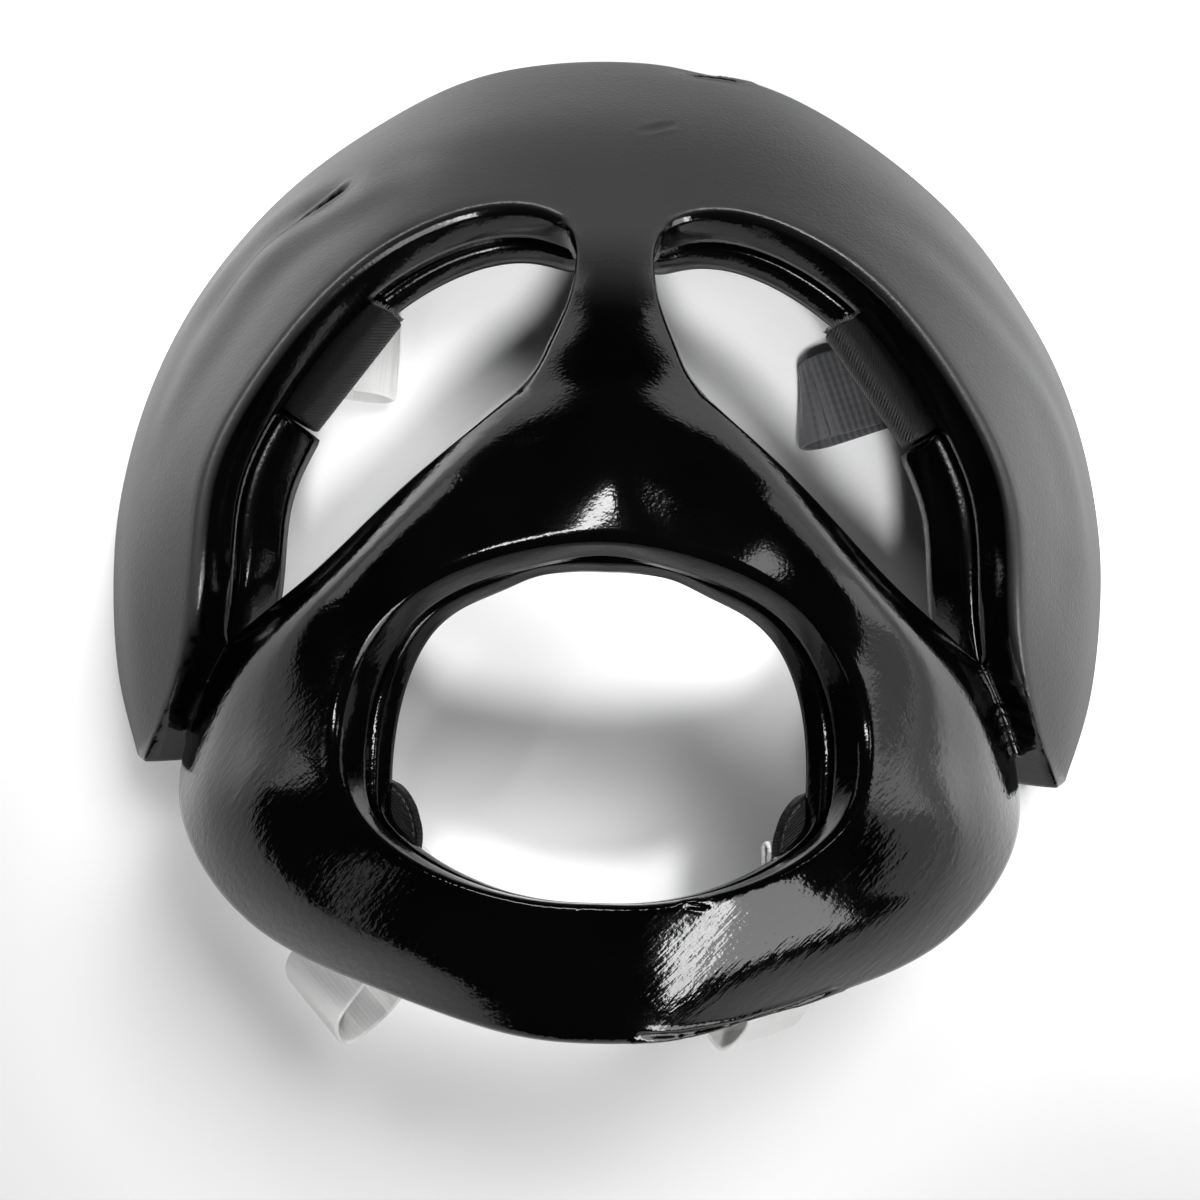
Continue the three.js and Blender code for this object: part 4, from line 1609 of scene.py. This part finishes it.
SHELL_SKIN = VinylFinish("vinyl_shell", base=0.0008, roughness=0.075, satin=0.4, painted_sheen=0.03,
                         peel=0.022 * MM, wrinkle=0.09 * MM)
LINER_SKIN = VinylFinish("vinyl_liner", base=0.0008, roughness=0.085, satin=0.3, painted_sheen=0.0,
                         peel=0.03 * MM, wrinkle=0.14 * MM)
TWILL_CLOTH = ClothFinish("black_twill", colour=(0.007, 0.007, 0.0072), shade=(0.001, 0.001, 0.001),
                          weave=Weave.TWILL, roughness=0.34, pitch=0.8 * MM, sheen=0.02, fuzz=0.16 * MM)
NAP_CLOTH = ClothFinish("white_nap", colour=(0.88, 0.88, 0.87), shade=(0.74, 0.74, 0.74),
                        weave=Weave.NAP, roughness=0.62, pitch=0.9 * MM, sheen=0.4, fuzz=0.06 * MM)
RIB_CLOTH = ClothFinish("grey_rib", colour=(0.1, 0.1, 0.105), shade=(0.012, 0.012, 0.012),
                        weave=Weave.RIBS, roughness=0.5, pitch=1.5 * MM, sheen=0.25, fuzz=0.07 * MM)
SEWING_THREAD = ClothFinish("black_thread", colour=(0.06, 0.06, 0.062), shade=(0.02, 0.02, 0.02),
                            weave=Weave.NAP, roughness=0.45, pitch=0.5 * MM, sheen=0.2, fuzz=0.03 * MM)

SHELL_MARKS = (
    Crease(((-68.5, 60.8, 34.8), (-58.0, 68.3, 36.0)), 0.9, 1.6),
    Dent((-63.0, 64.0, 36.0), (8.0, 8.0, 8.0), 0.9),
    Dent((-54.0, 71.0, 36.0), (7.0, 4.0, 7.0), -0.4),
    Dent((-46.0, 73.5, 38.0), (8.0, 5.0, 7.0), 0.5),
    Crease(((-57.8, 68.8, 35.7), (-79.0, 54.9, 28.7)), 3.6, 0.9),
    Crease(((-75.0, 57.0, 31.0), (-89.0, 36.0, 29.0)), 4.0, 0.9),
    Crease(((-50.0, 66.5, 41.5), (-76.5, 47.1, 37.3)), 4.2, -0.6),
    Crease(((-71.0, 52.0, 38.0), (-93.0, 13.1, 37.8)), 4.6, -0.7),
    Crease(((5.0, 80.6, 39.0), (12.0, 83.2, 37.3)), 0.9, 0.3),
    Crease(((15.5, 104.6, 15.4), (27.0, 104.2, 13.2)), 0.9, 1.1),
    Dent((19.0, 105.8, 11.0), (8.0, 5.0, 7.0), 1.0),
    Crease(((8.6, -105.2, 82.3), (17.5, -104.7, 78.9)), 0.6, 0.5),
    Crease(((16.5, -104.6, 79.3), (27.6, -102.6, 73.9)), 0.6, 0.6),
    Crease(((26.0, -102.9, 74.6), (36.5, -99.6, 69.9)), 0.7, 0.55),
    Crease(((35.0, -100.0, 70.4), (44.3, -96.3, 67.5)), 0.6, 0.4),
    Crease(((16.0, -82.6, 91.4), (19.6, -82.9, 90.9)), 0.4, 0.25),
    Dent((-95.0, 10.0, 36.0), (8.0, 16.0, 14.0), 0.5),
    Dent((-97.0, -24.0, 30.0), (7.0, 12.0, 10.0), -0.4),
    Crease(((62.0, 60.0, 39.0), (95.9, 23.3, 28.1)), 4.6, 0.5),
    Crease(((89.5, 30.2, 34.0), (97.0, -6.0, 33.0)), 4.6, -0.5),
    Dent((92.0, -14.0, 44.0), (7.0, 9.0, 9.0), 0.6),
    Dent((97.0, 28.0, 30.0), (8.0, 14.0, 14.0), 0.4),
    Dent((57.0, 63.0, 40.0), (10.0, 8.0, 9.0), 0.35),
)

LINER_MARKS = {
    "muzzle_liner": (
        Dent((-12.5, -21.5, 68.5), (7.0, 5.0, 9.0), 1.3),
        Dent((12.5, -21.5, 68.5), (7.0, 5.0, 9.0), 1.3),
        Dent((0.0, -19.5, 69.5), (4.0, 4.0, 9.0), -0.5),
    ),
}

LAMPS = (
    Softbox("front_strip", -57.0, 34.0, (0.14, 1.0), 15.0, LampUse.MIRROR, lean=-15.0),
    Softbox("front_wide", -42.0, 34.0, (0.46, 1.0), 4.5, LampUse.MIRROR, lean=-15.0),
    Softbox("left_strip", -145.0, 17.0, (0.13, 0.8), 0.65, LampUse.MIRROR, lean=37.0),
    Softbox("right_card", 4.0, 9.0, (1.7, 0.6), 0.8, LampUse.MIRROR, 1.5),
    Softbox("right_back_card", 38.0, 10.0, (1.0, 0.5), 1.2, LampUse.MIRROR, 1.5),
    Softbox("left_back_card", 140.0, 7.0, (1.0, 0.36), 1.3, LampUse.MIRROR, 1.5),
    Softbox("back_strip", 106.0, 65.0, (1.53, 0.4), 22.0, LampUse.MIRROR, 4.0),
    Softbox("back_fill", 106.0, 65.0, (1.53, 0.4), 11.0, LampUse.MATT, 4.0),
    Softbox("top_glint", 44.0, 50.0, (0.2, 0.16), 4.0, LampUse.MIRROR),
    Softbox("key", 40.0, 62.0, (2.0, 2.0), 12.6, LampUse.MATT, 4.0),
    Snoot("left_table", 135.0, 72.0, 0.17, 150.0, (-0.2, 0.19, -0.04)),
    Snoot("right_table", 0.0, 72.0, 0.16, 120.0, (0.25, 0.06, -0.04)),
    Snoot("hollow_light", -85.0, 62.0, 0.115, 80.0, (0.0, 0.02, -0.04)),
    Snoot("strap_light", -112.0, 38.0, 0.032, 75.0, (-0.046, -0.1, 0.0)),
)


def main() -> None:
    """Builds the scene piece by piece."""
    logging.basicConfig(level=logging.INFO, format="%(name)s %(message)s")
    Studio(lamps=LAMPS).build()
    FaceGuard().build()


if __name__ == "__main__":
    main()
